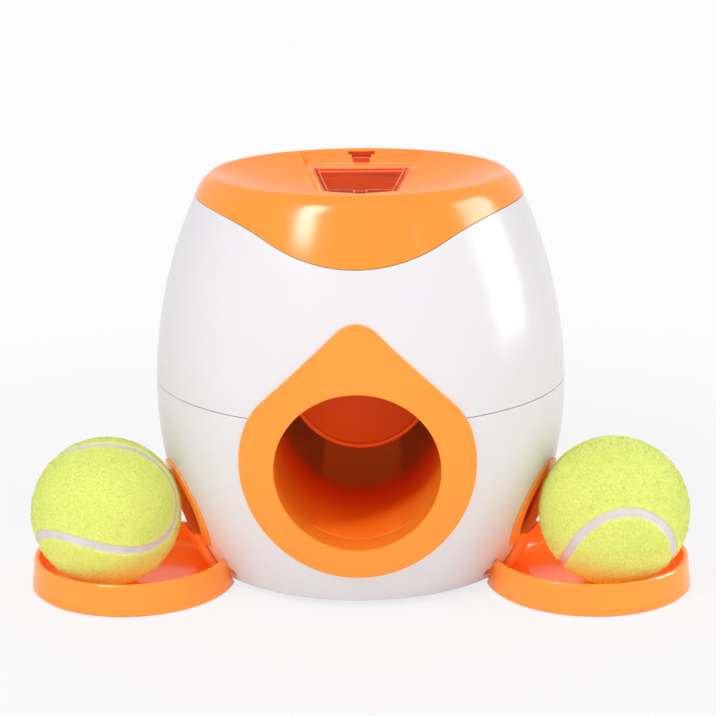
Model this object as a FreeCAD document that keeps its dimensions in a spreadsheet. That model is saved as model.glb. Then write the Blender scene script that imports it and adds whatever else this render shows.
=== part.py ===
import FreeCAD, Part
import math
import os
from types import SimpleNamespace

import Sketcher

# A ball-fed treat dispenser for dogs.  Millimetres, +Z up, front towards -Y.
# The origin is on the barrel's axis, on the floor.
#
# The dog pushes a ball into the front mouth.  The ball swings a flap back, a
# gear sector on the flap's axle turns the dosing drum half a turn, the drum
# drops one dose on a gabled floor, and two ducts take it to the side outlets
# and trays.  The spring brings the flap back and the ball rolls out again.

DOC = FreeCAD.newDocument("BallTreatDispenser")
SHEET = DOC.addObject("Spreadsheet::Sheet", "Sizes")
VECTOR = FreeCAD.Vector

DRIVING_SIZES = {
    # barrel profile
    "base_height": 3.0,
    "base_inset": 20.3,
    "belly_height": 80.0,
    "belly_radius": 91.3,
    "shoulder_drop": 6.5,
    "shoulder_inset": 20.7,
    "shoulder_round": 15.3,
    "lip_height": 176.5,
    "lip_inset": 26.7,
    "lip_width": 1.2,
    "dish_depth": 15.0,
    # shells and their laps
    "shell_wall": 3.0,
    "lap_gap": 0.2,
    "reveal": 0.3,
    "seam_height": 86.0,
    "tongue_height": 4.0,
    "tongue_root": 6.0,
    "wave_drop": 28.2,
    "wave_rise": 18.7,
    "wave_half_width": 74.0,
    "wave_tongue": 5.0,
    "cover_wall": 2.4,
    "fit_gap": 0.3,
    # base
    "plate_thick": 2.5,
    "flange_thick": 2.0,
    "flange_inner": 56.0,
    "boss_radius": 3.5,
    "boss_height": 8.0,
    "base_screw_circle": 61.0,
    "base_screw_angle": 25.0,
    "screw_radius": 1.25,
    "screw_head_radius": 2.8,
    "screw_head_height": 1.5,
    "screw_clearance": 0.35,
    "foot_radius": 7.0,
    "foot_circle": 56.0,
    "foot_angle": 60.0,
    "foot_stem_radius": 2.5,
    "rib_thick": 3.0,
    "rib_half_width": 24.0,
    "rib_spacing": 42.0,
    "rib_top": 38.0,
    # front panel and mouth
    "mouth_height": 65.0,
    "mouth_radius": 34.6,
    "collar_wall": 2.2,
    "panel_height": 66.0,
    "panel_radius": 49.5,
    "panel_tip_radius": 11.4,
    "panel_top": 127.5,
    "panel_flank_cut": 2.1,
    "panel_blend_radius": 34.0,
    "panel_rise": 1.6,
    "skin_gap": 0.1,
    # ball tunnel
    "tunnel_radius": 35.0,
    "tunnel_wall": 2.1,
    "tunnel_slope": 3.0,
    "tunnel_front": -69.6,
    "tunnel_step": 0.2,
    "tube_end": -6.0,
    "chamber_end": 46.0,
    "chamber_top": 75.0,
    "back_wall_top": 71.5,
    "tab_length": 8.4,
    "tab_half_width": 4.5,
    "tab_thick": 2.4,
    "tab_front": 2.0,
    "tab_back": 20.0,
    "joint_gap": 0.2,
    # flap, drum and their gears
    "axle_radius": 2.0,
    "running_gap": 0.06,
    "press_gap": 0.02,
    "sector_arm_half_width": 2.0,
    "sector_arm_margin": 5.0,
    "flap_axle_back": 9.0,
    "axle_height": 112.0,
    "flap_radius": 33.1,
    "flap_height": 82.0,
    "flap_thick": 2.4,
    "flap_back": 0.8,
    "flap_bead": 1.2,
    "flap_hub_radius": 4.5,
    "flap_hub_half_length": 27.0,
    "spring_wire_radius": 0.5,
    "spring_coil_radius": 5.2,
    "spring_pitch": 1.25,
    "spring_turns": 3.25,
    "spring_frame_leg": 11.0,
    "spring_flap_leg": 19.0,
    "spring_play": 0.05,
    "spring_peg_radius": 1.2,
    "spring_peg_back": 18.0,
    "gear_module": 1.0,
    "sector_teeth": 66.0,
    "pinion_teeth": 14.0,
    "gear_addendum": 0.8,
    "gear_dedendum": 1.15,
    "gear_backlash": 0.24,
    "pressure_angle": 20.0,
    "sector_low": -52.0,
    "sector_high": 14.0,
    "gear_inner_face": 30.3,
    "gear_width": 3.2,
    "sector_hub_radius": 6.0,
    "sector_rim": 4.0,
    "drum_radius": 13.0,
    "drum_half_length": 26.6,
    "pocket_radius": 8.5,
    "pocket_offset": 11.8,
    "pocket_end_wall": 2.0,
    "clip_radius": 3.6,
    "clip_thick": 0.8,
    "clip_play": 0.05,
    "clip_bite": 0.35,
    "clip_mouth_half": 1.2,
    "groove_depth": 0.4,
    "axle_overhang": 1.4,
    # mechanism frame
    "cheek_wall": 2.5,
    "cheek_front": -5.0,
    "cheek_back": 62.0,
    "cheek_top": 124.0,
    "cheek_corner": 6.0,
    "bearing_radius": 6.0,
    "bearing_height": 1.2,
    "bush_wall": 1.5,
    "bush_flange": 1.2,
    "bush_rim": 1.2,
    "gable_ridge": 98.0,
    "gable_slope": 30.0,
    "gable_wall": 2.0,
    "gable_front": 38.0,
    "gable_back": 60.0,
    "gable_end_top": 100.0,
    "gable_end_shoulder": 89.5,
    "gear_room": 0.7,
    "window_top": 92.0,
    "window_margin": 1.0,
    # hatch, lid and hopper
    "hatch_back": 38.0,
    "lid_half_length": 18.0,
    "lid_back_half_width": 27.5,
    "lid_front_half_width": 19.0,
    "lid_flange": 1.5,
    "lid_wall": 1.2,
    "lid_margin": 2.0,
    "lid_border": 4.2,
    "lid_pan_depth": 3.6,
    "lid_gap": 0.4,
    "ledge_gap": 0.2,
    "hatch_frame_wall": 2.4,
    "hatch_frame_depth": 5.0,
    "stem_half_width": 4.1,
    "hinge_bar_radius": 1.4,
    "hinge_bar_half_length": 5.8,
    "hinge_back": 23.5,
    "hinge_lift": 0.3,
    "hinge_relief_back": 20.0,
    "hinge_relief_room": 0.4,
    "hinge_boss_back": 26.2,
    "hinge_boss_depth": 3.8,
    "finger_half_width": 4.0,
    "finger_length": 3.0,
    "finger_groove_half_width": 2.9,
    "finger_groove_depth": 0.6,
    "hopper_wall": 1.8,
    "hopper_flange": 3.0,
    "hopper_flange_thick": 1.6,
    "neck_height": 130.0,
    "neck_half_width": 9.0,
    "drum_gap": 0.5,
    "lug_length": 13.0,
    "lug_thick": 2.4,
    "lug_back": 52.0,
    "lug_half_width": 5.0,
    "lug_boss_height": 6.0,
    # side outlets and ducts
    "outlet_azimuth": 69.0,
    "outlet_height": 31.8,
    "outlet_radius": 16.8,
    "sill_height": 19.6,
    "sill_slope": 10.0,
    "sleeve_wall": 1.6,
    "bezel_collar_wall": 2.4,
    "bezel_radius": 22.4,
    "bezel_foot": 17.6,
    "bezel_tray_gap": 0.4,
    "bezel_rise": 1.0,
    "bezel_bevel": 0.8,
    "duct_radius": 14.0,
    "duct_wall": 1.6,
    "duct_inlet_side": 53.5,
    "duct_inlet_back": 46.0,
    "duct_inlet_top": 94.0,
    "duct_bend_height": 64.0,
    "duct_elbow_circle": 59.0,
    # trays and balls
    "tray_reach": 15.8,
    "tray_radius": 44.9,
    "tray_rim_radius": 43.5,
    "tray_height": 14.0,
    "tray_wall": 2.2,
    "tray_floor": 2.5,
    "tray_round": 3.0,
    "tray_foot_bevel": 1.0,
    "tray_lean": 0.3,
    "tray_corner": 1.5,
    "tray_gap": 0.4,
    "apron_height": 8.0,
    "apron_tongue_top": 21.0,
    "apron_tongue_half_width": 9.0,
    "apron_tongue_foot": 13.0,
    "tray_tab_offset": 22.0,
    "tray_tab_half_width": 4.0,
    "tray_tab_low": 6.0,
    "tray_tab_high": 8.5,
    "tray_tab_reach": 64.0,
    "ball_radius": 32.5,
    "ball_reach": 28.38,
    "ball_azimuth": 66.8,
    "felt_thick": 3.0,
    "core_wall": 3.3,
    "felt_gap": 0.05,
}


class Size:
    """A size of the model: its value now, and the sheet formula that gives it."""

    def __init__(self, value, formula=None):
        self.value = float(value)
        self.formula = formula or f"{float(value)!r}"

    def _pair(self, other, sign, value):
        other = as_size(other)
        return Size(value(self.value, other.value), f"({self.formula} {sign} {other.formula})")

    def __add__(self, other):
        return self._pair(other, "+", lambda a, b: a + b)

    def __sub__(self, other):
        return self._pair(other, "-", lambda a, b: a - b)

    def __mul__(self, other):
        return self._pair(other, "*", lambda a, b: a * b)

    def __truediv__(self, other):
        return self._pair(other, "/", lambda a, b: a / b)

    def __neg__(self):
        return Size(-self.value, f"(0 - {self.formula})")

    def __radd__(self, other):
        return as_size(other) + self

    def __rsub__(self, other):
        return as_size(other) - self

    def __rmul__(self, other):
        return as_size(other) * self

    def __float__(self):
        return self.value


def as_size(number):
    return number if isinstance(number, Size) else Size(number)


def root(size):
    return Size(math.sqrt(size.value), f"sqrt({size.formula})")


def sine(angle):
    return Size(math.sin(math.radians(float(angle))), f"sin({as_size(angle).formula})")


def cosine(angle):
    return Size(math.cos(math.radians(float(angle))), f"cos({as_size(angle).formula})")


def arcsine(ratio):
    return Size(math.degrees(math.asin(ratio.value)), f"(asin({ratio.formula}) / 1 deg)")


def fill_sheet():
    sizes = {}
    for row, (alias, value) in enumerate(DRIVING_SIZES.items(), start=1):
        SHEET.set(f"A{row}", alias.replace("_", " "))
        SHEET.set(f"B{row}", str(value))
        SHEET.setAlias(f"B{row}", alias)
        sizes[alias] = Size(value, f"Sizes.{alias}")
    DOC.recompute()
    return SimpleNamespace(**sizes)


S = fill_sheet()
FAR = 260.0         # half-size of tools that only have to reach past everything


# ---------------------------------------------------------------- features

def bind(item, **sizes):
    for key, size in sizes.items():
        item.setExpression(key, as_size(size).formula)
    return item


def place(item, at=(0, 0, 0), turn=""):
    """Put an object at a point; turn is a rotation formula such as rotationy(90)."""
    x, y, z = (as_size(value).formula for value in at)
    turn = turn or "rotationz(0)"
    item.setExpression("Placement", f"placement(vector({x}; {y}; {z}); {turn})")
    return item


ALONG = {"x": "rotationy(90)", "y": "rotationx(-90)", "z": ""}


def cylinder(name, radius, length, at, along="z", turn=""):
    item = DOC.addObject("Part::Cylinder", name)
    bind(item, Radius=radius, Height=length)
    return place(item, at, turn or ALONG[along])


def cone(name, low_radius, high_radius, length, at, along="z", turn=""):
    item = DOC.addObject("Part::Cone", name)
    bind(item, Radius1=low_radius, Radius2=high_radius, Height=length)
    return place(item, at, turn or ALONG[along])


def sphere(name, radius, at):
    item = DOC.addObject("Part::Sphere", name)
    bind(item, Radius=radius)
    return place(item, at)


def block(name, low, high):
    item = DOC.addObject("Part::Box", name)
    lengths = [as_size(b) - as_size(a) for a, b in zip(low, high)]
    bind(item, Length=lengths[0], Width=lengths[1], Height=lengths[2])
    return place(item, low)


def fuse(name, *items):
    item = DOC.addObject("Part::MultiFuse", name)
    item.Shapes = list(items)
    return item


def common(name, first, second):
    item = DOC.addObject("Part::Common", name)
    item.Base = first
    item.Tool = second
    return item


def cut(name, base, *tools):
    item = DOC.addObject("Part::Cut", name)
    item.Base = base
    item.Tool = tools[0] if len(tools) == 1 else fuse(f"{name}_tools", *tools)
    return item


def mirrored(name, source):
    item = DOC.addObject("Part::Mirroring", name)
    item.Source = source
    item.Base = VECTOR(0, 0, 0)
    item.Normal = VECTOR(1, 0, 0)
    return item


PLANES = {
    "XY": FreeCAD.Rotation(),
    "XZ": FreeCAD.Rotation(VECTOR(1, 0, 0), 90),
    "YZ": FreeCAD.Rotation(VECTOR(1, 1, 1), 120),
}


def trace(sketch, corners):
    """Draw a closed outline.  A corner is (x, y), or (x, y, cx, cy, way) when an
    arc about (cx, cy) leads to it, way being 1 for anticlockwise and -1 for clockwise."""
    points = [VECTOR(float(c[0]), float(c[1]), 0) for c in corners]
    ends = []
    for index, corner in enumerate(corners):
        start, stop = points[index - 1], points[index]
        if len(corner) == 2:
            edge = sketch.addGeometry(Part.LineSegment(start, stop))
            ends.append((edge, 1, 2))
            continue
        centre = VECTOR(float(corner[2]), float(corner[3]), 0)
        first, last = (start, stop) if corner[4] > 0 else (stop, start)
        circle = Part.Circle(centre, VECTOR(0, 0, 1), (start - centre).Length)
        angles = [math.atan2(p.y - centre.y, p.x - centre.x) for p in (first, last)]
        if angles[1] < angles[0]:
            angles[1] += 2 * math.pi
        edge = sketch.addGeometry(Part.ArcOfCircle(circle, *angles))
        ends.append((edge, 1, 2) if corner[4] > 0 else (edge, 2, 1))
        chord = stop - start
        across = abs(chord.x) < abs(chord.y)
        hold(sketch, "DistanceX" if across else "DistanceY", edge, 3, corner[2] if across else corner[3])
    for index, corner in enumerate(corners):
        edge, _, last = ends[index]
        follower, first, _ = ends[(index + 1) % len(corners)]
        sketch.addConstraint(Sketcher.Constraint("Coincident", edge, last, follower, first))
        hold(sketch, "DistanceX", edge, last, corner[0])
        hold(sketch, "DistanceY", edge, last, corner[1])
    return sketch


def hold(sketch, kind, edge, point, size):
    """Fix one coordinate of a sketch point to a formula."""
    size = as_size(size)
    number = sketch.addConstraint(Sketcher.Constraint(kind, -1, 1, edge, point, size.value))
    sketch.setExpression(f"Constraints[{number}]", size.formula)


def revolved(name, corners):
    """A solid turned about Z from an outline in the XZ plane."""
    sketch = DOC.addObject("Sketcher::SketchObject", f"{name}_outline")
    sketch.Placement = FreeCAD.Placement(VECTOR(0, 0, 0), PLANES["XZ"])
    trace(sketch, corners)
    item = DOC.addObject("Part::Revolution", name)
    item.Source = sketch
    item.Axis = VECTOR(0, 0, 1)
    item.Angle = 360
    item.Solid = True
    return item


def extruded(name, corners, plane, start, length):
    """An outline in a main plane, pulled along that plane's axis from start."""
    sketch = DOC.addObject("Sketcher::SketchObject", f"{name}_outline")
    sketch.Placement = FreeCAD.Placement(VECTOR(0, 0, 0), PLANES[plane])
    axis = {"XY": "z", "XZ": "y", "YZ": "x"}[plane]
    sketch.setExpression(f"Placement.Base.{axis}", as_size(start).formula)
    trace(sketch, corners)
    item = DOC.addObject("Part::Extrusion", name)
    item.Base = sketch
    item.DirMode = "Custom"
    item.Dir = VECTOR(axis == "x", axis == "y", axis == "z")
    item.Solid = True
    return bind(item, LengthFwd=length)


NODES = []


def node(name, item):
    """Keep an object as one sub-part of the product, under its own name."""
    item.Label = name
    NODES.append(item)
    return item


def body_sketch(body, name, plane, corners):
    origin_plane = [f for f in body.Origin.OriginFeatures if f.Role == f"{plane}_Plane"][0]
    sketch = body.newObject("Sketcher::SketchObject", name)
    sketch.AttachmentSupport = [(origin_plane, "")]
    sketch.MapMode = "FlatFace"
    return trace(sketch, corners)


# ------------------------------------------------------------ barrel forms

SHOULDER_RADIUS = S.belly_radius - S.shoulder_inset
LIP_RADIUS = S.belly_radius - S.lip_inset
SHOULDER_HEIGHT = S.lip_height - S.shoulder_drop
LOWER_CURVE = (S.base_inset * S.base_inset
               + (S.belly_height - S.base_height) * (S.belly_height - S.base_height)) \
    / (2 * S.base_inset)
UPPER_CURVE = (S.shoulder_inset * S.shoulder_inset
               + (SHOULDER_HEIGHT - S.belly_height) * (SHOULDER_HEIGHT - S.belly_height)) \
    / (2 * S.shoulder_inset)
DISH_EDGE = LIP_RADIUS - S.lip_width
DISH_CURVE = (DISH_EDGE * DISH_EDGE + S.dish_depth * S.dish_depth) / (2 * S.dish_depth)
DISH_CENTRE = S.lip_height - S.dish_depth + DISH_CURVE


def barrel_radius(curve, inset, height):
    """Radius of the barrel, moved in by inset, at a height on one of its two curves."""
    reach = curve - inset
    rise = as_size(height) - S.belly_height
    return S.belly_radius - curve + root(reach * reach - rise * rise)


def barrel(name, inset, top=None):
    """The barrel's outer form moved in by inset.  A plain one stops at a flat top."""
    bottom = barrel_radius(LOWER_CURVE, inset, S.base_height)
    belly = S.belly_radius - inset
    upper_centre = S.belly_radius - UPPER_CURVE
    lower_centre = S.belly_radius - LOWER_CURVE
    corners = [
        (0, S.base_height),
        (bottom, S.base_height),
        (belly, S.belly_height, lower_centre, S.belly_height, 1),
    ]
    if top is not None:
        corners += [(barrel_radius(UPPER_CURVE, inset, top), top, upper_centre, S.belly_height, 1), (0, top)]
        return revolved(name, corners)
    chord = (SHOULDER_RADIUS - LIP_RADIUS, S.lip_height - SHOULDER_HEIGHT)
    half_chord = root(chord[0] * chord[0] + chord[1] * chord[1]) / 2
    depth = root(S.shoulder_round * S.shoulder_round - half_chord * half_chord)
    round_x = (SHOULDER_RADIUS + LIP_RADIUS) / 2 - depth * chord[1] / (2 * half_chord)
    round_z = (SHOULDER_HEIGHT + S.lip_height) / 2 - depth * chord[0] / (2 * half_chord)
    corners += [
        (SHOULDER_RADIUS, SHOULDER_HEIGHT, upper_centre, S.belly_height, 1),
        (LIP_RADIUS, S.lip_height, round_x, round_z, 1),
        (0, S.lip_height),
    ]
    return revolved(name, corners)


def below_wave(name, bottom, lift):
    """The space under the cover's wavy edge, from bottom up to the edge plus lift."""
    quarter = S.wave_half_width / 2
    bend = (S.wave_half_width * S.wave_half_width + S.wave_rise * S.wave_rise) / (4 * S.wave_rise)
    low = S.lip_height - S.wave_drop + lift
    mid = low + S.wave_rise / 2
    high = low + S.wave_rise
    half = S.wave_half_width
    corners = [
        (-FAR, bottom),
        (FAR, bottom),
        (FAR, high),
        (half, high),
        (quarter, mid, half, high - bend, 1),
        (-quarter, mid, 0, low + bend, -1),
        (-half, high, -half, high - bend, 1),
        (-FAR, high),
    ]
    return extruded(name, corners, "XZ", -FAR, 2 * FAR)


def slab(name, low, high):
    return block(name, (-FAR, -FAR, low), (FAR, FAR, high))


HALF_WALL = S.shell_wall / 2
INNER_TOP = S.lip_height - 2.5
OUTER = barrel("barrel_outer", 0)
COVER_STEP = barrel("barrel_cover_step", HALF_WALL - S.lap_gap, INNER_TOP)
MIDDLE = barrel("barrel_middle", HALF_WALL, INNER_TOP)
TONGUE = barrel("barrel_tongue", HALF_WALL + S.lap_gap, INNER_TOP)
INSIDE = barrel("barrel_inside", S.shell_wall, INNER_TOP)
FIT = barrel("barrel_fit", S.shell_wall + S.fit_gap, INNER_TOP)
SKIN = barrel("barrel_skin", -S.skin_gap, INNER_TOP)

# --------------------------------------------- places shared by the pieces

SIDE_X = sine(S.outlet_azimuth)
SIDE_Y = -cosine(S.outlet_azimuth)
OUTWARD = f"rotationz({(S.outlet_azimuth - 90).formula}) * rotationy(90)"
OUTWARD_FLAT = f"rotationz({(S.outlet_azimuth - 90).formula})"

TRAY_CIRCLE = S.belly_radius + S.tray_reach
BALL_CIRCLE = S.belly_radius + S.ball_reach

TUNNEL_TILT = f"rotationx({S.tunnel_slope.formula})"
TUNNEL_OUTER = S.tunnel_radius + S.tunnel_wall
TUNNEL_START_Z = S.mouth_height + S.tunnel_radius - S.mouth_radius + S.tunnel_step
MOUTH_OUTER = S.mouth_radius + S.collar_wall

PITCH_SECTOR = S.gear_module * S.sector_teeth / 2
PITCH_PINION = S.gear_module * S.pinion_teeth / 2
DRUM_Y = S.flap_axle_back + PITCH_SECTOR + PITCH_PINION
CHEEK_INNER = S.tunnel_radius
CHEEK_OUTER = S.tunnel_radius + S.cheek_wall
FRAME_BOTTOM = S.chamber_top + S.joint_gap
BUSH_OUTER = S.axle_radius + S.running_gap + S.bush_wall
BEARING_FACE = CHEEK_OUTER + S.bearing_height
AXLE_END = BEARING_FACE + S.bush_flange + S.clip_thick + S.axle_overhang
PLATE_TOP = S.base_height + S.plate_thick
FLANGE_LOW = PLATE_TOP + S.fit_gap
FLANGE_HIGH = FLANGE_LOW + S.flange_thick


def ring_places(circle, angle):
    """Four points on a circle, mirrored left-right and front-back."""
    x, y = circle * sine(angle), circle * cosine(angle)
    return [(sx * x, sy * y) for sx in (-1, 1) for sy in (-1, 1)]


BASE_SCREWS = ring_places(S.base_screw_circle, S.base_screw_angle)
FEET = ring_places(S.foot_circle, S.foot_angle)
TAB_SCREWS = [(side * (TUNNEL_OUTER + S.tab_length / 2), y)
              for side in (-1, 1) for y in (S.tab_front, S.tab_back)]
LUG_SCREWS = [(side * (S.tunnel_radius + S.tunnel_wall + S.lug_length / 4), S.lug_back) for side in (-1, 1)]


def mouth_bore(name, radius):
    """The round way in at the front, straight along Y."""
    return cylinder(name, radius, FAR, (0, -FAR, S.mouth_height), "y")


def outlet_bore(name, radius):
    """The round way out at the right side, level and pointing out of the barrel."""
    return cylinder(name, radius, FAR, (0, 0, S.outlet_height), turn=OUTWARD)


def below_sill(name, drop):
    """What lies under the right outlet's floor, which slopes down on its way out."""
    slope = S.sill_slope
    return cylinder(name, 2 * S.outlet_radius + S.bezel_radius, S.belly_radius,
                    (S.belly_radius * SIDE_X, S.belly_radius * SIDE_Y, S.sill_height - drop),
                    turn=f"{OUTWARD_FLAT} * rotationy({(180 + slope).formula})")


def tongue_face(name, room, low):
    """The side of the barrel up to a level, with the tongue below the outlet, room wider."""
    top, foot_level = S.apron_tongue_top + room, S.apron_height
    near, foot = S.apron_tongue_half_width + room, S.apron_tongue_foot + room
    slant = (foot - near) / (S.apron_tongue_top - foot_level)
    start = foot - slant * (low - foot_level)
    face = extruded(name, [(-FAR, 0), (FAR, 0), (FAR, low), (start, low), (near, top),
                           (-near, top), (-start, low), (-FAR, low)], "YZ", as_size(0), FAR)
    return place(face, turn=OUTWARD_FLAT)


# ---------------------------------------------------------------- housing

def tray_slots(name, gap):
    """Two straight tabs under the right outlet; with a gap they are their slots."""
    tabs = []
    for index, side in enumerate((-1, 1)):
        middle = side * S.tray_tab_offset
        half = S.tray_tab_half_width + gap
        tab = block(f"{name}_{index}",
                    (S.tray_tab_reach - gap, middle - half, S.tray_tab_low - gap),
                    (TRAY_CIRCLE, middle + half, S.tray_tab_high + gap))
        tabs.append(tab)
    return place(fuse(name, *tabs), turn=OUTWARD_FLAT)


def lower_shell():
    wall = cut("lower_wall", common("lower_outer", OUTER, slab("lower_slab", 0, S.seam_height)), INSIDE)
    tongue_top = S.seam_height + S.tongue_height
    tongue_ring = common("tongue_outer", TONGUE,
                         slab("tongue_slab", S.seam_height - S.tongue_root, tongue_top))
    tongue = cut("lower_tongue", tongue_ring, INSIDE)
    flange = cut("lower_flange", common("flange_disc", MIDDLE, slab("flange_slab", FLANGE_LOW, FLANGE_HIGH)),
                 cylinder("flange_hole", S.flange_inner, FAR, (0, 0, 0)))
    bosses = [cylinder(f"base_boss_{i}", S.boss_radius, S.boss_height, (x, y, FLANGE_HIGH - 0.5))
              for i, (x, y) in enumerate(BASE_SCREWS)]
    pilots = [cylinder(f"base_pilot_{i}", S.screw_radius + S.running_gap, S.boss_height * 2, (x, y, 0))
              for i, (x, y) in enumerate(BASE_SCREWS)]
    port = outlet_bore("port_cut", S.outlet_radius + S.bezel_collar_wall + S.fit_gap)
    slots = tray_slots("tray_slot", S.fit_gap)
    whole = fuse("lower_whole", wall, tongue, flange, *bosses)
    return node("lower_shell", cut(
        "lower_shell_body", whole, mouth_bore("lower_mouth", MOUTH_OUTER + S.fit_gap),
        port, mirrored("port_cut_left", port), slots, mirrored("tray_slot_left", slots), *pilots))


def upper_shell():
    seam = S.seam_height + S.reveal
    skin = cut("upper_skin", common("upper_outer", OUTER, below_wave("upper_edge", seam, 0)), MIDDLE)
    lining = cut("upper_lining", common("upper_middle", MIDDLE, below_wave(
        "upper_tongue_edge", seam + S.tongue_height, S.wave_tongue)), INSIDE)
    return node("upper_shell", cut("upper_shell_body", fuse("upper_whole", skin, lining),
                                   mouth_bore("upper_mouth", MOUTH_OUTER + S.fit_gap)))


def front_panel():
    """A drop-shaped plate bent over the barrel, with a collar that lines the mouth."""
    apex = S.panel_top - S.panel_tip_radius
    centre = S.panel_height
    # the straight flank touches the tip's circle and cuts a little into the large one,
    # where an arc blends the two
    swing = arcsine((S.panel_radius - S.panel_flank_cut - S.panel_tip_radius) / (apex - centre))
    across, up = cosine(swing), sine(swing)
    blend = S.panel_blend_radius
    lean = arcsine(1 - S.panel_flank_cut / (S.panel_radius - blend)) + swing
    spread, rise = sine(lean), -cosine(lean)
    blend_x, blend_z = (S.panel_radius - blend) * spread, centre + (S.panel_radius - blend) * rise
    foot = (S.panel_radius * spread, centre + S.panel_radius * rise)
    top = (blend_x + blend * across, blend_z + blend * up)
    tip = (S.panel_tip_radius * across, apex + S.panel_tip_radius * up)
    corners = [
        (*foot, 0, centre, 1),
        (*top, blend_x, blend_z, 1),
        tip,
        (-tip[0], tip[1], 0, apex, 1),
        (-top[0], top[1]),
        (-foot[0], foot[1], -blend_x, blend_z, 1),
    ]
    drop = extruded("panel_drop", corners, "XZ", -FAR, FAR)
    face = barrel("barrel_panel", -S.panel_rise, INNER_TOP)
    plate = cut("panel_plate", common("panel_face", face, drop), SKIN)
    collar = common("panel_collar", face, cylinder(
        "collar_outer", MOUTH_OUTER, FAR + S.tunnel_front - S.fit_gap, (0, -FAR, S.mouth_height), "y"))
    return node("front_panel", cut("front_panel_body", fuse("panel_whole", plate, collar),
                                   mouth_bore("panel_mouth", S.mouth_radius)))


def top_cover():
    bowl = sphere("dish_bowl", DISH_CURVE, (0, 0, DISH_CENTRE))
    underside = sphere("dish_underside", DISH_CURVE + S.cover_wall, (0, 0, DISH_CENTRE))
    hollow = cut("cover_hollow", INSIDE, underside)
    step = common("cover_step", COVER_STEP, below_wave("cover_step_edge", S.belly_height,
                                                       S.wave_tongue + S.reveal))
    skin = cut("cover_skin", OUTER, hollow, step, below_wave("cover_edge", 0, S.reveal))
    frame = common("hatch_frame", OUTER, hatch_prism(
        "hatch_frame_prism", -(S.lid_gap + S.hatch_frame_wall), -S.hatch_frame_depth, 12))
    # behind the lid the recess goes on a little, so that fingers can reach the lid's back edge
    relief_half = S.lid_back_half_width + S.lid_gap
    relief = common("hinge_relief", hatch_block(
        "hinge_relief_block", relief_half, S.lid_half_length, S.hinge_relief_back,
        -(S.lid_flange + S.ledge_gap), 20),
        cylinder("hinge_relief_reach", DISH_EDGE - S.hinge_relief_room, FAR, (0, 0, 0)))
    backing = common("hinge_backing", OUTER, hatch_block(
        "hinge_backing_block", relief_half + S.hatch_frame_wall, S.lid_half_length,
        S.hinge_relief_back + S.hatch_frame_wall, -S.hatch_frame_depth, 12))
    seat_half = S.hinge_bar_half_length + S.lid_gap
    boss = common("hinge_boss", OUTER, hatch_block(
        "hinge_boss_block", seat_half + S.hatch_frame_wall, S.lid_half_length, S.hinge_boss_back,
        -S.hinge_boss_depth, 12))
    recess = hatch_prism("hatch_recess", -S.lid_gap, -(S.lid_flange + S.ledge_gap), 20)
    opening = hatch_prism("hatch_opening", S.lid_border - S.lid_gap, -12, 20)
    stem = hatch_block("stem_slot", S.stem_half_width + S.lid_gap, 0, S.hinge_back,
                       -(S.lid_flange + S.ledge_gap), 20)
    seat_radius = S.hinge_bar_radius + S.running_gap
    seat = hatch_cylinder("hinge_seat", seat_radius, seat_half)
    seat_way = hatch_block("hinge_seat_way", seat_half, S.hinge_back - seat_radius,
                           S.hinge_back + seat_radius, S.hinge_lift - S.lid_flange / 2, 20)
    finger = hatch_block("finger_scoop", S.finger_half_width + S.lid_gap,
                         -(LID_REACH + S.finger_length + 2 * S.lid_gap), 0,
                         -(S.lid_flange + S.ledge_gap), 20)
    return node("top_cover", cut("top_cover_body", fuse("cover_whole", skin, frame, backing, boss),
                                 bowl, recess, opening, relief, stem, seat, seat_way, finger))


# ------------------------------------------------------- hatch and its lid

HATCH_TILT = arcsine(S.hatch_back / DISH_CURVE)
HATCH_Z = DISH_CENTRE - DISH_CURVE * cosine(HATCH_TILT)
HATCH_TURN = f"rotationx({HATCH_TILT.formula})"
HATCH_AT = (0, S.hatch_back, HATCH_Z)
LID_REACH = S.lid_half_length - S.lid_margin
LID_SLANT = (S.lid_back_half_width - S.lid_front_half_width) / (2 * S.lid_half_length)


def trapezoid(inset):
    """Corners of the lid's outline, moved in by inset, wider at the back."""
    middle = (S.lid_back_half_width + S.lid_front_half_width) / 2
    reach = S.lid_half_length - inset
    narrow = inset * root(1 + LID_SLANT * LID_SLANT)
    back = middle + LID_SLANT * reach - narrow
    front = middle - LID_SLANT * reach - narrow
    return [(-back, reach), (-front, -reach), (front, -reach), (back, reach)]


def hatch_level(level):
    """The middle of the lid's outline, moved square to the lid."""
    return 0, HATCH_AT[1] - level * sine(HATCH_TILT), HATCH_AT[2] + level * cosine(HATCH_TILT)


def hatch_prism(name, inset, low, high):
    """A prism on the lid's outline, square to the lid, between two levels."""
    sketch = DOC.addObject("Sketcher::SketchObject", f"{name}_outline")
    low, high = as_size(low), as_size(high)
    place(sketch, hatch_level(low), HATCH_TURN)
    trace(sketch, trapezoid(as_size(inset)))
    item = DOC.addObject("Part::Extrusion", name)
    item.Base = sketch
    item.DirMode = "Normal"
    item.Solid = True
    return bind(item, LengthFwd=high - low)


def hatch_place(item, x, along, level):
    """Put an object in the lid's own frame: along the slope and square to it."""
    along, level = as_size(along), as_size(level)
    y = HATCH_AT[1] + along * cosine(HATCH_TILT) - level * sine(HATCH_TILT)
    z = HATCH_AT[2] + along * sine(HATCH_TILT) + level * cosine(HATCH_TILT)
    return place(item, (x, y, z), HATCH_TURN)


def hatch_block(name, half_width, front, back, low, high):
    item = DOC.addObject("Part::Box", name)
    bind(item, Length=2 * as_size(half_width), Width=as_size(back) - front, Height=as_size(high) - low)
    return hatch_place(item, -as_size(half_width), front, low)


HINGE_Y = HATCH_AT[1] + S.hinge_back * cosine(HATCH_TILT) \
    - (S.hinge_lift - S.lid_flange / 2) * sine(HATCH_TILT)
HINGE_Z = HATCH_AT[2] + S.hinge_back * sine(HATCH_TILT) \
    + (S.hinge_lift - S.lid_flange / 2) * cosine(HATCH_TILT)


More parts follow.
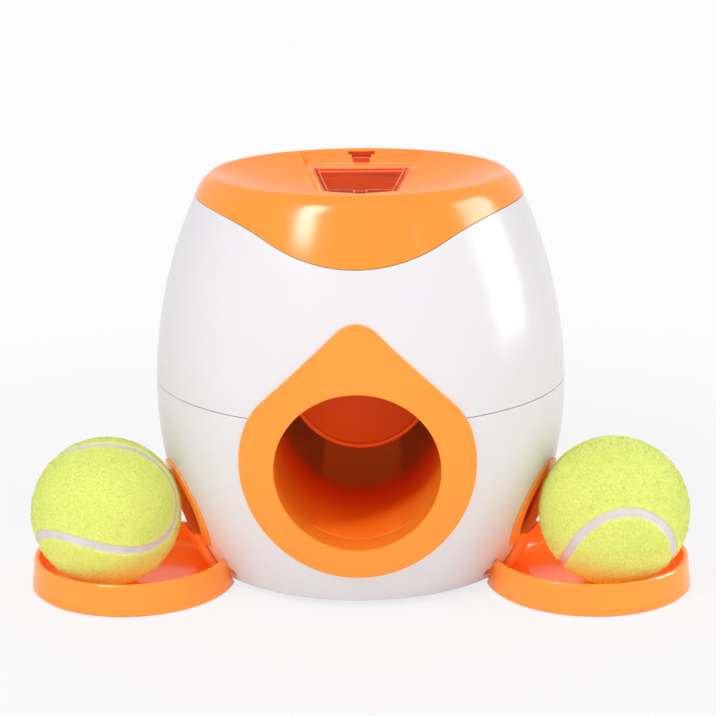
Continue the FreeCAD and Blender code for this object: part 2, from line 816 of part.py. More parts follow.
def hatch_cylinder(name, radius, half_length):
    return cylinder(name, radius, 2 * half_length, (-half_length, HINGE_Y, HINGE_Z), "x")


def treat_lid():
    """A clear snap lid: flange, sunk pan, hinge stem with its cross bar, finger tab."""
    flange = hatch_prism("lid_flange_prism", S.lid_margin, -S.lid_flange, 0)
    pan = hatch_prism("lid_pan", S.lid_border, -S.lid_pan_depth, -S.lid_flange / 2)
    stem = hatch_block("lid_stem", S.stem_half_width, LID_REACH - 1, S.hinge_back, -S.lid_flange, 0)
    bar = hatch_cylinder("lid_bar", S.hinge_bar_radius, S.hinge_bar_half_length)
    finger = hatch_block("lid_finger", S.finger_half_width, -(LID_REACH + S.finger_length),
                         1 - LID_REACH, -S.lid_flange, 0)
    hollow = hatch_prism("lid_hollow", S.lid_border + S.lid_wall, S.lid_wall - S.lid_pan_depth, 1)
    groove = hatch_block("finger_groove", S.finger_groove_half_width,
                         -(LID_REACH + S.finger_length + 1),
                         S.lid_border + S.lid_wall - S.lid_half_length, -S.finger_groove_depth, 1)
    whole = fuse("lid_whole", flange, pan, stem, bar, finger)
    return node("treat_lid", cut("treat_lid_body", whole, hollow, groove))


# ------------------------------------------------------------------- base

def base_plate():
    disc = common("plate_disc", FIT, slab("plate_slab", S.base_height, PLATE_TOP))
    ribs = [block(f"saddle_{i}", (-S.rib_half_width, y - S.rib_thick / 2, PLATE_TOP - 0.5),
                  (S.rib_half_width, y + S.rib_thick / 2, S.rib_top))
            for i, y in enumerate((-S.rib_spacing, as_size(0), S.rib_spacing))]
    saddle = tunnel_cylinder("saddle_cut", TUNNEL_OUTER + S.fit_gap, -20, FAR)
    holes = [cylinder(f"plate_hole_{i}", S.screw_radius + S.screw_clearance, FAR, (x, y, 0))
             for i, (x, y) in enumerate(BASE_SCREWS)]
    sinks = [cylinder(f"plate_sink_{i}", S.screw_head_radius + S.screw_clearance,
                      S.screw_head_height + S.joint_gap, (x, y, S.base_height))
             for i, (x, y) in enumerate(BASE_SCREWS)]
    sockets = [cylinder(f"foot_socket_{i}", S.foot_stem_radius + S.skin_gap, FAR, (x, y, 0))
               for i, (x, y) in enumerate(FEET)]
    return node("base_plate", cut("base_plate_body", fuse("plate_whole", disc, *ribs),
                                  saddle, *holes, *sinks, *sockets))


def screws(name, places, head_low, length, way):
    """Pan screws at several places; way 1 puts the head on top, -1 underneath."""
    pieces = []
    for index, (x, y) in enumerate(places):
        head = cylinder(f"{name}_head_{index}", S.screw_head_radius, S.screw_head_height, (x, y, head_low))
        start = head_low - length if way > 0 else head_low + S.screw_head_height / 2
        reach = length + S.screw_head_height / 2
        pieces += [head, cylinder(f"{name}_shank_{index}", S.screw_radius, reach, (x, y, start))]
    return node(name, fuse(f"{name}_group", *pieces))


def rubber_feet():
    pads = []
    for index, (x, y) in enumerate(FEET):
        pads += [cylinder(f"foot_pad_{index}", S.foot_radius, S.base_height, (x, y, 0)),
                 cylinder(f"foot_stem_{index}", S.foot_stem_radius, PLATE_TOP - 0.2, (x, y, 0))]
    return node("rubber_feet", fuse("rubber_feet_group", *pads))


# ------------------------------------------------------------ ball tunnel

def tunnel_point(along, level=0):
    """A point of the tilted tunnel axis, in the product's frame (y, z)."""
    along, level = as_size(along), as_size(level)
    y = S.tunnel_front + along * cosine(S.tunnel_slope) - level * sine(S.tunnel_slope)
    z = TUNNEL_START_Z + along * sine(S.tunnel_slope) + level * cosine(S.tunnel_slope)
    return y, z


def tunnel_cylinder(name, radius, start, length):
    y, z = tunnel_point(start)
    return cylinder(name, radius, length, (0, y, z), turn=f"{TUNNEL_TILT} * rotationx(-90)")


def tunnel_channel(name, half_width, start, end, high):
    """A trough on the tunnel axis: a round floor with straight sides up to high."""
    sketch = DOC.addObject("Sketcher::SketchObject", f"{name}_outline")
    place(sketch, (0, *tunnel_point(start)), f"{TUNNEL_TILT} * rotationx(90)")
    trace(sketch, [(-half_width, 0), (half_width, 0, 0, 0, 1), (half_width, high), (-half_width, high)])
    item = DOC.addObject("Part::Extrusion", name)
    item.Base = sketch
    item.DirMode = "Normal"
    item.Reversed = True
    item.Solid = True
    return bind(item, LengthFwd=as_size(end) - start)


def ball_tunnel():
    """A sloping tube that opens at its back into an open-topped ball chamber."""
    tube_length = (S.tube_end - S.tunnel_front) / cosine(S.tunnel_slope)
    inner_length = (S.chamber_end - S.tunnel_front) / cosine(S.tunnel_slope)
    tube = cut("tunnel_tube", tunnel_cylinder("tube_outer", TUNNEL_OUTER, -10, tube_length + 10),
               tunnel_cylinder("tube_bore", S.tunnel_radius, -20, tube_length + 40))
    outer_length = inner_length + S.tunnel_wall
    chamber = cut("tunnel_chamber",
                  tunnel_channel("chamber_outer", TUNNEL_OUTER, tube_length, outer_length, 20),
                  tunnel_channel("chamber_bore", S.tunnel_radius, tube_length - 1, inner_length, 30))
    whole = fuse("tunnel_pipe", tube, chamber)
    tabs = [block(f"tunnel_tab_{i}",
                  (x - S.tab_length / 2 - 1, y - S.tab_half_width, S.chamber_top - S.tab_thick),
                  (x + S.tab_length / 2 + 1, y + S.tab_half_width, S.chamber_top))
            for i, (x, y) in enumerate(TAB_SCREWS)]
    holes = [cylinder(f"tunnel_pilot_{i}", S.screw_radius + S.running_gap, FAR, (x, y, 0))
             for i, (x, y) in enumerate(TAB_SCREWS)]
    return node("ball_tunnel", cut(
        "ball_tunnel_body", fuse("tunnel_whole", whole, *tabs),
        block("chamber_trim", (-FAR, S.tube_end, S.chamber_top), (FAR, FAR, FAR)),
        block("back_wall_trim", (-S.tunnel_radius, S.chamber_end - 6, S.back_wall_top),
              (S.tunnel_radius, FAR, FAR)),
        block("front_trim", (-FAR, -FAR, -FAR), (FAR, S.tunnel_front, FAR)), *holes))


# -------------------------------------------------------- mechanism frame

def mechanism_frame():
    """Two cheeks that carry both shafts, joined by the gabled floor under the drum."""
    front, back, top = S.cheek_front, S.cheek_back, S.cheek_top
    corner = S.cheek_corner
    outline = [
        (front, FRAME_BOTTOM), (back, FRAME_BOTTOM), (back, top - corner),
        (back - corner, top, back - corner, top - corner, 1),
        (front + corner, top), (front, top - corner, front + corner, top - corner, 1),
    ]
    parts = [extruded(f"cheek_{side}", outline, "YZ", start, S.cheek_wall)
             for side, start in (("left", -CHEEK_OUTER), ("right", CHEEK_INNER))]
    fall = CHEEK_INNER * sine(S.gable_slope) / cosine(S.gable_slope)
    eaves = S.gable_ridge - fall
    gable = [(0, S.gable_ridge), (-CHEEK_INNER, eaves), (-CHEEK_INNER, eaves - S.gable_wall),
             (0, S.gable_ridge - S.gable_wall), (CHEEK_INNER, eaves - S.gable_wall), (CHEEK_INNER, eaves)]
    # the end walls step in above their shoulders, where the gear sector swings
    neck = S.gear_inner_face - S.gear_room
    end_wall = [(0, S.gable_ridge - S.gable_wall), (CHEEK_INNER, eaves - S.gable_wall),
                (CHEEK_INNER, S.gable_end_shoulder), (neck, S.gable_end_shoulder),
                (neck, S.gable_end_top), (-neck, S.gable_end_top), (-neck, S.gable_end_shoulder),
                (-CHEEK_INNER, S.gable_end_shoulder), (-CHEEK_INNER, eaves - S.gable_wall)]
    depth = S.gable_back - S.gable_front
    parts.append(extruded("gable", gable, "XZ", S.gable_front - S.gable_wall, depth + 2 * S.gable_wall))
    parts.append(extruded("gable_front_wall", end_wall, "XZ", S.gable_front - S.gable_wall, S.gable_wall))
    parts.append(extruded("gable_back_wall", end_wall, "XZ", S.gable_back, S.gable_wall))
    tools = []
    for side in (-1, 1):
        word = "left" if side < 0 else "right"
        for shaft, y in (("flap", S.flap_axle_back), ("drum", DRUM_Y)):
            start = BEARING_FACE - S.bearing_height - 1 if side > 0 else -BEARING_FACE
            parts.append(cylinder(f"{shaft}_bearing_{word}", S.bearing_radius, S.bearing_height + 1,
                                  (start, y, S.axle_height), "x"))
        near, far = S.gable_front + S.window_margin, S.gable_back - S.window_margin
        window = [(near, eaves), (far, eaves), (far, S.window_top), (near, S.window_top)]
        start = CHEEK_INNER - 0.5 if side > 0 else -CHEEK_OUTER - 0.5
        tools.append(extruded(f"window_{word}", window, "YZ", start, S.cheek_wall + 1))
    for index, (x, y) in enumerate(TAB_SCREWS):
        parts.append(block(f"frame_tab_{index}",
                           (x - S.tab_length / 2 - 1, y - S.tab_half_width, FRAME_BOTTOM),
                           (x + S.tab_length / 2 + 1, y + S.tab_half_width, FRAME_BOTTOM + S.tab_thick)))
        tools.append(cylinder(f"frame_hole_{index}", S.screw_radius + S.screw_clearance, 2 * S.tab_thick + 2,
                              (x, y, FRAME_BOTTOM - 1)))
    for index, (x, y) in enumerate(LUG_SCREWS):
        parts.append(cylinder(f"lug_boss_{index}", S.boss_radius, S.lug_boss_height,
                              (x, y, S.cheek_top - S.lug_boss_height)))
        tools.append(cylinder(f"lug_pilot_{index}", S.screw_radius + S.running_gap, S.lug_boss_height,
                              (x, y, S.cheek_top - S.lug_boss_height)))
    for shaft, y in (("flap", S.flap_axle_back), ("drum", DRUM_Y)):
        tools.append(cylinder(f"{shaft}_bearing_bore", BUSH_OUTER + S.running_gap, 2 * FAR,
                              (-FAR, y, S.axle_height), "x"))
    tools.append(block("ball_way", (-CHEEK_INNER, -FAR, -FAR),
                       (CHEEK_INNER, S.gable_front - S.gable_wall, FAR)))
    body = cut("frame_bored", fuse("frame_whole", *parts), *tools)
    peg_lift = S.spring_coil_radius + S.spring_wire_radius + S.spring_peg_radius + S.spring_play
    peg = cylinder("spring_peg", S.spring_peg_radius, CHEEK_INNER - S.flap_hub_half_length - S.spring_pitch,
                   (-CHEEK_INNER - 0.5, S.spring_peg_back, S.axle_height + peg_lift), "x")
    return node("mechanism_frame", fuse("mechanism_frame_body", body, peg))


def axle_bushes():
    """Flanged plain bearings, one in each cheek for each shaft."""
    pieces = []
    for side in (-1, 1):
        for shaft, y in (("flap", S.flap_axle_back), ("drum", DRUM_Y)):
            name = f"{shaft}_bush_{'left' if side < 0 else 'right'}"
            length = BEARING_FACE - CHEEK_INNER + S.bush_flange
            start = CHEEK_INNER if side > 0 else -CHEEK_INNER - length
            flange_start = BEARING_FACE if side > 0 else -BEARING_FACE - S.bush_flange
            solid = fuse(f"{name}_solid",
                         cylinder(f"{name}_sleeve", BUSH_OUTER, length, (start, y, S.axle_height), "x"),
                         cylinder(f"{name}_flange", BUSH_OUTER + S.bush_rim, S.bush_flange,
                                  (flange_start, y, S.axle_height), "x"))
            pieces.append(cut(name, solid, cylinder(f"{name}_bore", S.axle_radius + S.running_gap, 2 * FAR,
                                                    (-FAR, y, S.axle_height), "x")))
    return node("axle_bushes", fuse("axle_bushes_group", *pieces))


# ----------------------------------------------------- flap and its axle

def shaft(name, y):
    rod = cylinder(f"{name}_rod", S.axle_radius, 2 * AXLE_END, (-AXLE_END, y, S.axle_height), "x")
    grooves = []
    for side in (-1, 1):
        start = AXLE_END - S.axle_overhang - S.clip_thick
        low = start if side > 0 else -start - S.clip_thick
        at = (low, y, S.axle_height)
        ring = cylinder(f"{name}_groove_{side + 1}", S.axle_radius + 1, S.clip_thick, at, "x")
        core = cylinder(f"{name}_core_{side + 1}", S.axle_radius - S.groove_depth, S.clip_thick, at, "x")
        grooves.append(cut(f"{name}_ring_{side + 1}", ring, core))
    return node(name, cut(f"{name}_body", rod, *grooves))


def clips(name, y):
    """Spring clips that keep a shaft from sliding out, open at the bottom."""
    pieces = []
    thick = S.clip_thick - 2 * S.clip_play
    for side in (-1, 1):
        start = AXLE_END - S.axle_overhang - S.clip_thick + S.clip_play
        low = start if side > 0 else -start - thick
        disc = cylinder(f"{name}_disc_{side + 1}", S.clip_radius, thick, (low, y, S.axle_height), "x")
        bore = cylinder(f"{name}_bore_{side + 1}", S.axle_radius - S.clip_bite, thick + 2,
                        (low - 1, y, S.axle_height), "x")
        half = S.clip_mouth_half
        mouth = block(f"{name}_mouth_{side + 1}", (low - 1, y - half, S.axle_height - S.clip_radius - 1),
                      (low + thick + 1, y + half, S.axle_height))
        pieces.append(cut(f"{name}_clip_{side + 1}", disc, bore, mouth))
    return node(name, fuse(f"{name}_group", *pieces))


def push_flap():
    """A round plate with a beaded rim that hangs from its hub in front of the chamber."""
    half = S.flap_hub_half_length
    plate = cylinder("flap_plate", S.flap_radius, S.flap_thick, (0, S.flap_back, S.flap_height), "y")
    bead = DOC.addObject("Part::Torus", "flap_bead_ring")
    bind(bead, Radius1=S.flap_radius - S.flap_bead, Radius2=S.flap_bead)
    place(bead, (0, S.flap_back + S.flap_bead / 4, S.flap_height), "rotationx(90)")
    hub = cylinder("flap_hub", S.flap_hub_radius, 2 * half, (-half, S.flap_axle_back, S.axle_height), "x")
    web_back = S.flap_axle_back
    web = common("flap_web", block("flap_web_block", (-half, S.flap_back, S.axle_height - S.flap_hub_radius),
                                   (half, web_back, S.axle_height)),
                 cylinder("flap_web_round", S.flap_radius + 1, FAR, (0, -10, S.flap_height), "y"))
    ribs = []
    for side in (-1, 1):
        x = side * half / 2
        corners = [(S.flap_back + 1, S.axle_height), (S.flap_back + 1, S.flap_height),
                   (S.flap_back + S.flap_thick, S.flap_height), (S.flap_axle_back, S.axle_height)]
        ribs.append(extruded(f"flap_rib_{side + 1}", corners, "YZ", x - 1, 2))
    bore = cylinder("flap_bore", S.axle_radius + S.press_gap, 2 * FAR,
                    (-FAR, S.flap_axle_back, S.axle_height), "x")
    return node("push_flap", cut("push_flap_body", fuse("flap_whole", plate, bead, hub, web, *ribs), bore))


def flap_spring():
    """Torsion spring on the axle's left end: one leg behind the flap, one under the frame's peg."""
    wire, coil = S.spring_wire_radius.value, S.spring_coil_radius.value
    pitch, turns = S.spring_pitch.value, S.spring_turns.value
    end = -S.flap_hub_half_length.value - wire - 0.2

    def on_coil(turn):
        angle = 2 * math.pi * (turn - turns) + math.pi
        return VECTOR(end + pitch * (turn - turns), S.flap_axle_back.value + coil * math.cos(angle),
                      S.axle_height.value + coil * math.sin(angle))

    steps = round(12 * turns)
    points = [on_coil(turns * i / steps) for i in range(steps + 1)]
    frame_leg = [points[0] + VECTOR(0, S.spring_frame_leg.value * i / 4, 0) for i in (4, 3, 2, 1)]
    flap_leg = [points[-1] - VECTOR(0, 0, S.spring_flap_leg.value * i / 4) for i in (1, 2, 3, 4)]
    spine = Part.BSplineCurve()
    spine.interpolate(frame_leg + points + flap_leg)
    tangent = spine.tangent(spine.FirstParameter)[0]
    sweep = Part.BRepOffsetAPI.MakePipeShell(Part.Wire(spine.toShape()))
    sweep.add(Part.Wire(Part.Circle(frame_leg[0], tangent, wire).toShape()))
    sweep.build()
    sweep.makeSolid()
    spring = DOC.addObject("Part::Feature", "flap_spring_body")
    spring.Shape = sweep.shape()
    return node("flap_spring", spring)


# ------------------------------------------------------------------ gears

def tooth_gear(centre, teeth, phase, span=None, inner=0.0):
    """The outline of an involute gear in the YZ plane, whole or a sector of it.

    Each flank is one arc through three points of its involute; below the base
    circle it runs straight to the root.  phase turns the first tooth, in degrees.
    """
    module, addendum = S.gear_module.value, S.gear_addendum.value
    pitch = module * teeth / 2
    base = pitch * math.cos(math.radians(S.pressure_angle.value))
    tip, foot = pitch + addendum * module, pitch - S.gear_dedendum.value * module
    start = max(base, foot)
    thickness = math.pi * module / 2 - S.gear_backlash.value / 2
    involute = math.tan(math.radians(S.pressure_angle.value)) - math.radians(S.pressure_angle.value)

    def half_angle(radius):
        slope = math.acos(min(1.0, base / radius))
        return thickness / (2 * pitch) + involute - (math.tan(slope) - slope)

    def point(radius, angle):
        return VECTOR(0, centre[0] + radius * math.cos(angle), centre[1] + radius * math.sin(angle))

    step = 2 * math.pi / teeth
    turn = math.radians(phase)
    if span is None:
        numbers = range(int(teeth))
    else:
        numbers = [n for n in range(-int(teeth), int(teeth))
                   if math.radians(span[0]) + step / 2 <= turn + n * step <= math.radians(span[1]) - step / 2]
    edges, previous = [], None
    for number in numbers:
        middle = turn + number * step
        sides = []
        for way in (-1, 1):
            radii = (start, (start + tip) / 2, tip)
            sides.append([point(r, middle + way * half_angle(r)) for r in radii])
        low_foot = point(foot, middle - half_angle(start))
        high_foot = point(foot, middle + half_angle(start))
        if previous is not None:
            edges.append(Part.Arc(previous, point(foot, middle - step / 2), low_foot).toShape())
        if foot < start:
            edges.append(Part.makeLine(low_foot, sides[0][0]))
        edges.append(Part.Arc(*sides[0]).toShape())
        edges.append(Part.Arc(sides[0][2], point(tip, middle), sides[1][2]).toShape())
        edges.append(Part.Arc(*reversed(sides[1])).toShape())
        if foot < start:
            edges.append(Part.makeLine(sides[1][0], high_foot))
        previous = high_foot
        if number == numbers[0]:
            opening = low_foot
    if span is None:
        closing = point(foot, turn + (numbers[-1] + 0.5) * step)
        edges.append(Part.Arc(previous, closing, opening).toShape())
    else:
        first_in = point(inner, turn + numbers[0] * step)
        last_in = point(inner, turn + numbers[-1] * step)
        middle_in = point(inner, turn + (numbers[0] + numbers[-1]) / 2 * step)
        edges.append(Part.makeLine(previous, last_in))
        edges.append(Part.Arc(last_in, middle_in, first_in).toShape())
        edges.append(Part.makeLine(first_in, opening))
    return Part.Face(Part.Wire(Part.__sortEdges__(edges)))


def flap_gear_sector():
    """A toothed rim on two arms, clamped to the flap's axle on the right side."""
    centre = (S.flap_axle_back.value, S.axle_height.value)
    width, face = S.gear_width.value, S.gear_inner_face.value
    pitch = PITCH_SECTOR.value
    rim_inner = pitch - S.gear_dedendum.value - S.sector_rim.value
    span = (S.sector_low.value, S.sector_high.value)
    push = VECTOR(width, 0, 0)
    rim = tooth_gear(centre, S.sector_teeth.value, 0, span, rim_inner)
    rim.translate(VECTOR(face, 0, 0))
    solid = rim.extrude(push)
    hub_centre = VECTOR(face, centre[0], centre[1])
    solid = solid.fuse(Part.makeCylinder(S.sector_hub_radius.value, width, hub_centre, VECTOR(1, 0, 0)))
    arm_half, margin = S.sector_arm_half_width.value, S.sector_arm_margin.value
    for angle in (span[0] + margin, (span[0] + span[1]) / 2, span[1] - margin):
        arm = Part.makeBox(width, rim_inner + 1.0, 2 * arm_half, VECTOR(0, 0, -arm_half))
        arm.rotate(VECTOR(0, 0, 0), VECTOR(1, 0, 0), angle)
        arm.translate(hub_centre)
        solid = solid.fuse(arm)
    bore = Part.makeCylinder(S.axle_radius.value + S.press_gap.value, width, hub_centre, VECTOR(1, 0, 0))
    sector = DOC.addObject("Part::Feature", "flap_gear_sector_body")
    sector.Shape = solid.cut(bore).removeSplitter()
    sector.Placement = FreeCAD.Placement()
    return node("flap_gear_sector", sector)


def drum_pinion():
    teeth = S.pinion_teeth.value
    centre = (DRUM_Y.value, S.axle_height.value)
    width, face = S.gear_width.value, S.gear_inner_face.value
    gap_towards_sector = 180.0 / teeth
    blank = tooth_gear(centre, teeth, gap_towards_sector)
    blank.translate(VECTOR(face, 0, 0))
    bore = Part.makeCylinder(S.axle_radius.value + S.press_gap.value, width, VECTOR(face, *centre),
                             VECTOR(1, 0, 0))
    pinion = DOC.addObject("Part::Feature", "drum_pinion_body")
    pinion.Shape = blank.extrude(VECTOR(width, 0, 0)).cut(bore)
    pinion.Placement = FreeCAD.Placement()
    return node("drum_pinion", pinion)


# ------------------------------------------------------- drum and hopper

def treat_drum():
    half = S.drum_half_length
    pocket_half = half - S.pocket_end_wall
    drum = cylinder("drum_roll", S.drum_radius, 2 * half, (-half, DRUM_Y, S.axle_height), "x")
    pocket = cylinder("drum_pocket", S.pocket_radius, 2 * pocket_half,
                      (-pocket_half, DRUM_Y, S.axle_height + S.pocket_offset), "x")
    bore = cylinder("drum_bore", S.axle_radius + S.press_gap, 2 * FAR, (-FAR, DRUM_Y, S.axle_height), "x")
    return node("treat_drum", cut("treat_drum_body", drum, pocket, bore))


def loft(name, outlines):
    """A straight-sided body between two four-cornered outlines."""
    item = DOC.addObject("Part::Loft", name)
    item.Sections = list(outlines)
    item.Solid = True
    item.Ruled = True
    return item


def hopper_outline(name, inset, level):
    sketch = DOC.addObject("Sketcher::SketchObject", name)
    place(sketch, hatch_level(as_size(level)), HATCH_TURN)
    return trace(sketch, trapezoid(as_size(inset)))


def neck_outline(name, half_length, half_width):
    sketch = DOC.addObject("Sketcher::SketchObject", name)
    place(sketch, (0, 0, S.neck_height))
    front, back = DRUM_Y - half_width, DRUM_Y + half_width
    return trace(sketch, [(-half_length, back), (-half_length, front),
                          (half_length, front), (half_length, back)])


def treat_hopper():
    """A funnel under the hatch that ends in the drum's round housing."""
    wall = S.hopper_wall
    top = -(S.hatch_frame_depth + S.joint_gap)
    inset = S.lid_border - S.lid_gap
    inner_half = S.drum_half_length + S.drum_gap
    neck = S.neck_half_width
    funnel = loft("funnel_outer", (hopper_outline("funnel_top", inset - wall, top),
                                   neck_outline("funnel_end", inner_half + wall, neck + wall)))
    flange = hatch_prism("hopper_flange_prism", inset - wall - S.hopper_flange,
                         top - S.hopper_flange_thick, top)
    throat = block("neck_outer", (-inner_half - wall, DRUM_Y - neck - wall, S.axle_height),
                   (inner_half + wall, DRUM_Y + neck + wall, S.neck_height))
    drum_house = cylinder("drum_house", S.drum_radius + S.drum_gap + wall, 2 * (inner_half + wall),
                          (-inner_half - wall, DRUM_Y, S.axle_height), "x")
    low = S.cheek_top + S.joint_gap
    lug = block("hopper_lug", (-CHEEK_OUTER - S.lug_length / 2, S.lug_back - S.lug_half_width, low),
                (CHEEK_OUTER + S.lug_length / 2, S.lug_back + S.lug_half_width, low + S.lug_thick))
    tools = [
        loft("funnel_inner", (hopper_outline("funnel_way_top", inset, top + 0.01),
                              neck_outline("funnel_way_end", inner_half, neck))),
        hatch_prism("funnel_mouth", inset, top - S.hopper_flange_thick, top + 1),
        block("neck_inner", (-inner_half, DRUM_Y - neck, S.axle_height),
              (inner_half, DRUM_Y + neck, S.neck_height + 0.01)),
        block("dump_slot", (-inner_half, DRUM_Y - neck, 0), (inner_half, DRUM_Y + neck, S.axle_height)),
        cylinder("drum_room", S.drum_radius + S.drum_gap, 2 * inner_half,
                 (-inner_half, DRUM_Y, S.axle_height), "x"),
        cylinder("drum_shaft_way", S.axle_radius + 0.4, 2 * FAR, (-FAR, DRUM_Y, S.axle_height), "x"),
    ]
    tools += [cylinder(f"lug_hole_{i}", S.screw_radius + S.screw_clearance, FAR, (x, y, S.axle_height))
              for i, (x, y) in enumerate(LUG_SCREWS)]
    whole = cut("hopper_opened", fuse("hopper_whole", funnel, flange, throat, drum_house, lug), *tools[:2])
    return node("treat_hopper", cut("treat_hopper_body", whole, *tools[2:]))


# --------------------------------------------------- ducts and side outlets

def duct_solid(name, radius, sleeve_radius, grow):
    """The way from a frame window to the right outlet; the wall is two of these."""
    top = (S.duct_inlet_side, S.duct_inlet_back)
    bend = (*top, S.duct_bend_height)
    elbow = (S.duct_elbow_circle * SIDE_X, S.duct_elbow_circle * SIDE_Y, S.outlet_height)
    run = [b - a for a, b in zip(bend, elbow)]
    length = root(run[0] * run[0] + run[1] * run[1] + run[2] * run[2])
    heading = f"rotation(vector({(-run[1]).formula}; {run[0].formula}; 0); acos({(run[2] / length).formula}))"
    low = S.gable_ridge - CHEEK_INNER * sine(S.gable_slope) / cosine(S.gable_slope)
    start = CHEEK_OUTER + S.fit_gap if grow else CHEEK_OUTER
    wall = S.duct_wall if grow else as_size(0)
    inlet_top = S.duct_inlet_top if grow else S.duct_inlet_top - S.duct_wall
    return fuse(
        name,
        cylinder(f"{name}_drop", radius, inlet_top - S.duct_bend_height, bend),
        sphere(f"{name}_bend", radius, bend),
        cylinder(f"{name}_run", radius, length, bend, turn=heading),
        sphere(f"{name}_elbow", sleeve_radius, elbow),
        cylinder(f"{name}_sleeve", sleeve_radius, 60, elbow, turn=OUTWARD),
        block(f"{name}_throat", (start, S.gable_front + S.window_margin - wall, low - wall),
              (S.duct_inlet_side, S.gable_back - S.window_margin - 0.2 + wall, inlet_top)))


def treat_ducts():
    outer = cut("duct_outside", duct_solid(
        "duct_outer", S.duct_radius + S.duct_wall, S.outlet_radius + S.sleeve_wall, True),
        below_sill("duct_underside", S.duct_wall))
    inner = cut("duct_way", duct_solid("duct_inner", S.duct_radius, S.outlet_radius, False),
                below_sill("duct_floor", 0))
    right = node("right_treat_duct", cut("right_duct_body", common("duct_inside_shell", outer, FIT), inner))
    node("left_treat_duct", mirrored("left_duct_body", right))


def outlet_bezels():
    face = barrel("barrel_bezel", -S.bezel_rise, INNER_TOP)
    belly = S.belly_radius + S.bezel_rise
    flange = common("bezel_flange", cut("bezel_skin", face, SKIN), cone(
        "bezel_cone", S.bezel_radius + 2 * S.bezel_bevel, S.bezel_radius - S.bezel_bevel, belly - 40,
        (40 * SIDE_X, 40 * SIDE_Y, S.outlet_height), turn=OUTWARD))
    collar = common("bezel_collar", cut("bezel_wall", face, INSIDE),
                    outlet_bore("bezel_collar_rod", S.outlet_radius + S.bezel_collar_wall))
    bore = cut("bezel_bore", outlet_bore("bezel_bore_rod", S.outlet_radius), below_sill("bezel_floor", 0))
    # behind the tray's tongue the bezel ends flush with the barrel
    low = cut("bezel_low", tongue_face("bezel_low_face", S.bezel_tray_gap, S.bezel_foot), OUTER)
    right = node("right_outlet_bezel",
                 cut("right_bezel_body", fuse("bezel_whole", flange, collar), bore, low))
    node("left_outlet_bezel", mirrored("left_bezel_body", right))


# ---------------------------------------------------------- trays and balls

def tray_dish(name):
    """A shallow round dish as a PartDesign body, turned from its section."""
    body = DOC.addObject("PartDesign::Body", name)
    wall, round_size = S.tray_wall, S.tray_round
    inner_low = S.tray_radius - wall - S.tray_lean
    inner_high = S.tray_rim_radius - wall
    corners = [
        (0, 0), (S.tray_radius - S.tray_foot_bevel, 0), (S.tray_radius, S.tray_foot_bevel),
        (S.tray_rim_radius, S.tray_height - wall / 2),
        (inner_high, S.tray_height - wall / 2, S.tray_rim_radius - wall / 2, S.tray_height - wall / 2, 1),
        (inner_low, S.tray_floor + round_size),
        (inner_low - round_size, S.tray_floor, inner_low - round_size, S.tray_floor + round_size, -1),
        (0, S.tray_floor),
    ]
    sketch = body_sketch(body, f"{name}_section", "XZ", corners)
    turned = body.newObject("PartDesign::Revolution", f"{name}_turned")
    turned.Profile = sketch
    turned.ReferenceAxis = (sketch, ["V_Axis"])
    turned.Angle = 360
    body.Tip = turned
    return place(body, (TRAY_CIRCLE * SIDE_X, TRAY_CIRCLE * SIDE_Y, 0))


def tray_blank(name, radius, height):
    return cylinder(name, radius, height, (TRAY_CIRCLE * SIDE_X, TRAY_CIRCLE * SIDE_Y, 0))


def tray_form(name, inset):
    """The barrel's skirt, moved in by inset and carried on down to the floor."""
    bottom = barrel_radius(LOWER_CURVE, inset, 0)
    centre = S.belly_radius - LOWER_CURVE
    return revolved(name, [(0, 0), (bottom, 0), (S.belly_radius - inset, S.belly_height, centre,
                                                  S.belly_height, 1), (0, S.belly_height)])


def corner_outline(name, side, level):
    """What a rounded corner takes off the tray at one height; its line runs along the outlet."""
    height = as_size(level)
    lean = (S.tray_radius - S.tray_rim_radius) / (S.tray_height - S.tray_wall / 2 - S.tray_foot_bevel)
    wall = S.tray_radius - lean * (height - S.tray_foot_bevel)
    skirt = barrel_radius(LOWER_CURVE, -S.tray_gap, height)
    outer, inner = skirt + S.tray_corner, wall - S.tray_corner
    out = (TRAY_CIRCLE * TRAY_CIRCLE + outer * outer - inner * inner) / (2 * TRAY_CIRCLE)
    across = side * root(outer * outer - out * out)
    on_skirt = (out * skirt / outer, across * skirt / outer)
    on_wall = (TRAY_CIRCLE + (out - TRAY_CIRCLE) * wall / inner, across * wall / inner)
    facing = ((on_wall[0] - TRAY_CIRCLE) / wall, on_wall[1] / wall)
    back = (facing[1] * side, -facing[0] * side)
    reach = S.tray_corner * 2
    start = (on_wall[0] + back[0] * reach, on_wall[1] + back[1] * reach)
    far = (start[0] + facing[0] * reach * 2, start[1] + facing[1] * reach * 2)
    inside = (on_skirt[0] * (skirt - reach) / skirt, on_skirt[1] * (skirt - reach) / skirt)
    beside = (inside[0], inside[1] + side * reach * 2)
    sketch = DOC.addObject("Sketcher::SketchObject", name)
    place(sketch, (0, 0, height), OUTWARD_FLAT)
    return trace(sketch, [(*on_wall, out, across, side), start, far, beside, inside, on_skirt])


def tray_corner(name, side):
    return loft(name, [corner_outline(f"{name}_{level}", side, level) for level in (-1, 16)])


def trays():
    near = tray_form("tray_near", -S.tray_gap)
    far = tray_form("tray_far", -(S.tray_gap + S.tray_wall))
    dish = cut("tray_open", tray_dish("tray_dish"), near)
    apron = common("tray_apron", common("tray_apron_wall", cut("tray_apron_ring", far, near),
                                        tray_blank("tray_apron_blank", S.tray_rim_radius, S.belly_height)),
                   tongue_face("tray_apron_face", as_size(0), S.apron_height))
    tabs = common("tray_tabs", tray_slots("tray_tab", as_size(0)), far)
    corners = [tray_corner(f"tray_corner_{side + 1}", side) for side in (-1, 1)]
    whole = fuse("right_tray_whole", dish, apron, tabs)
    right = node("right_tray", cut("right_tray_body", whole, *corners))
    node("left_tray", mirrored("left_tray_body", right))


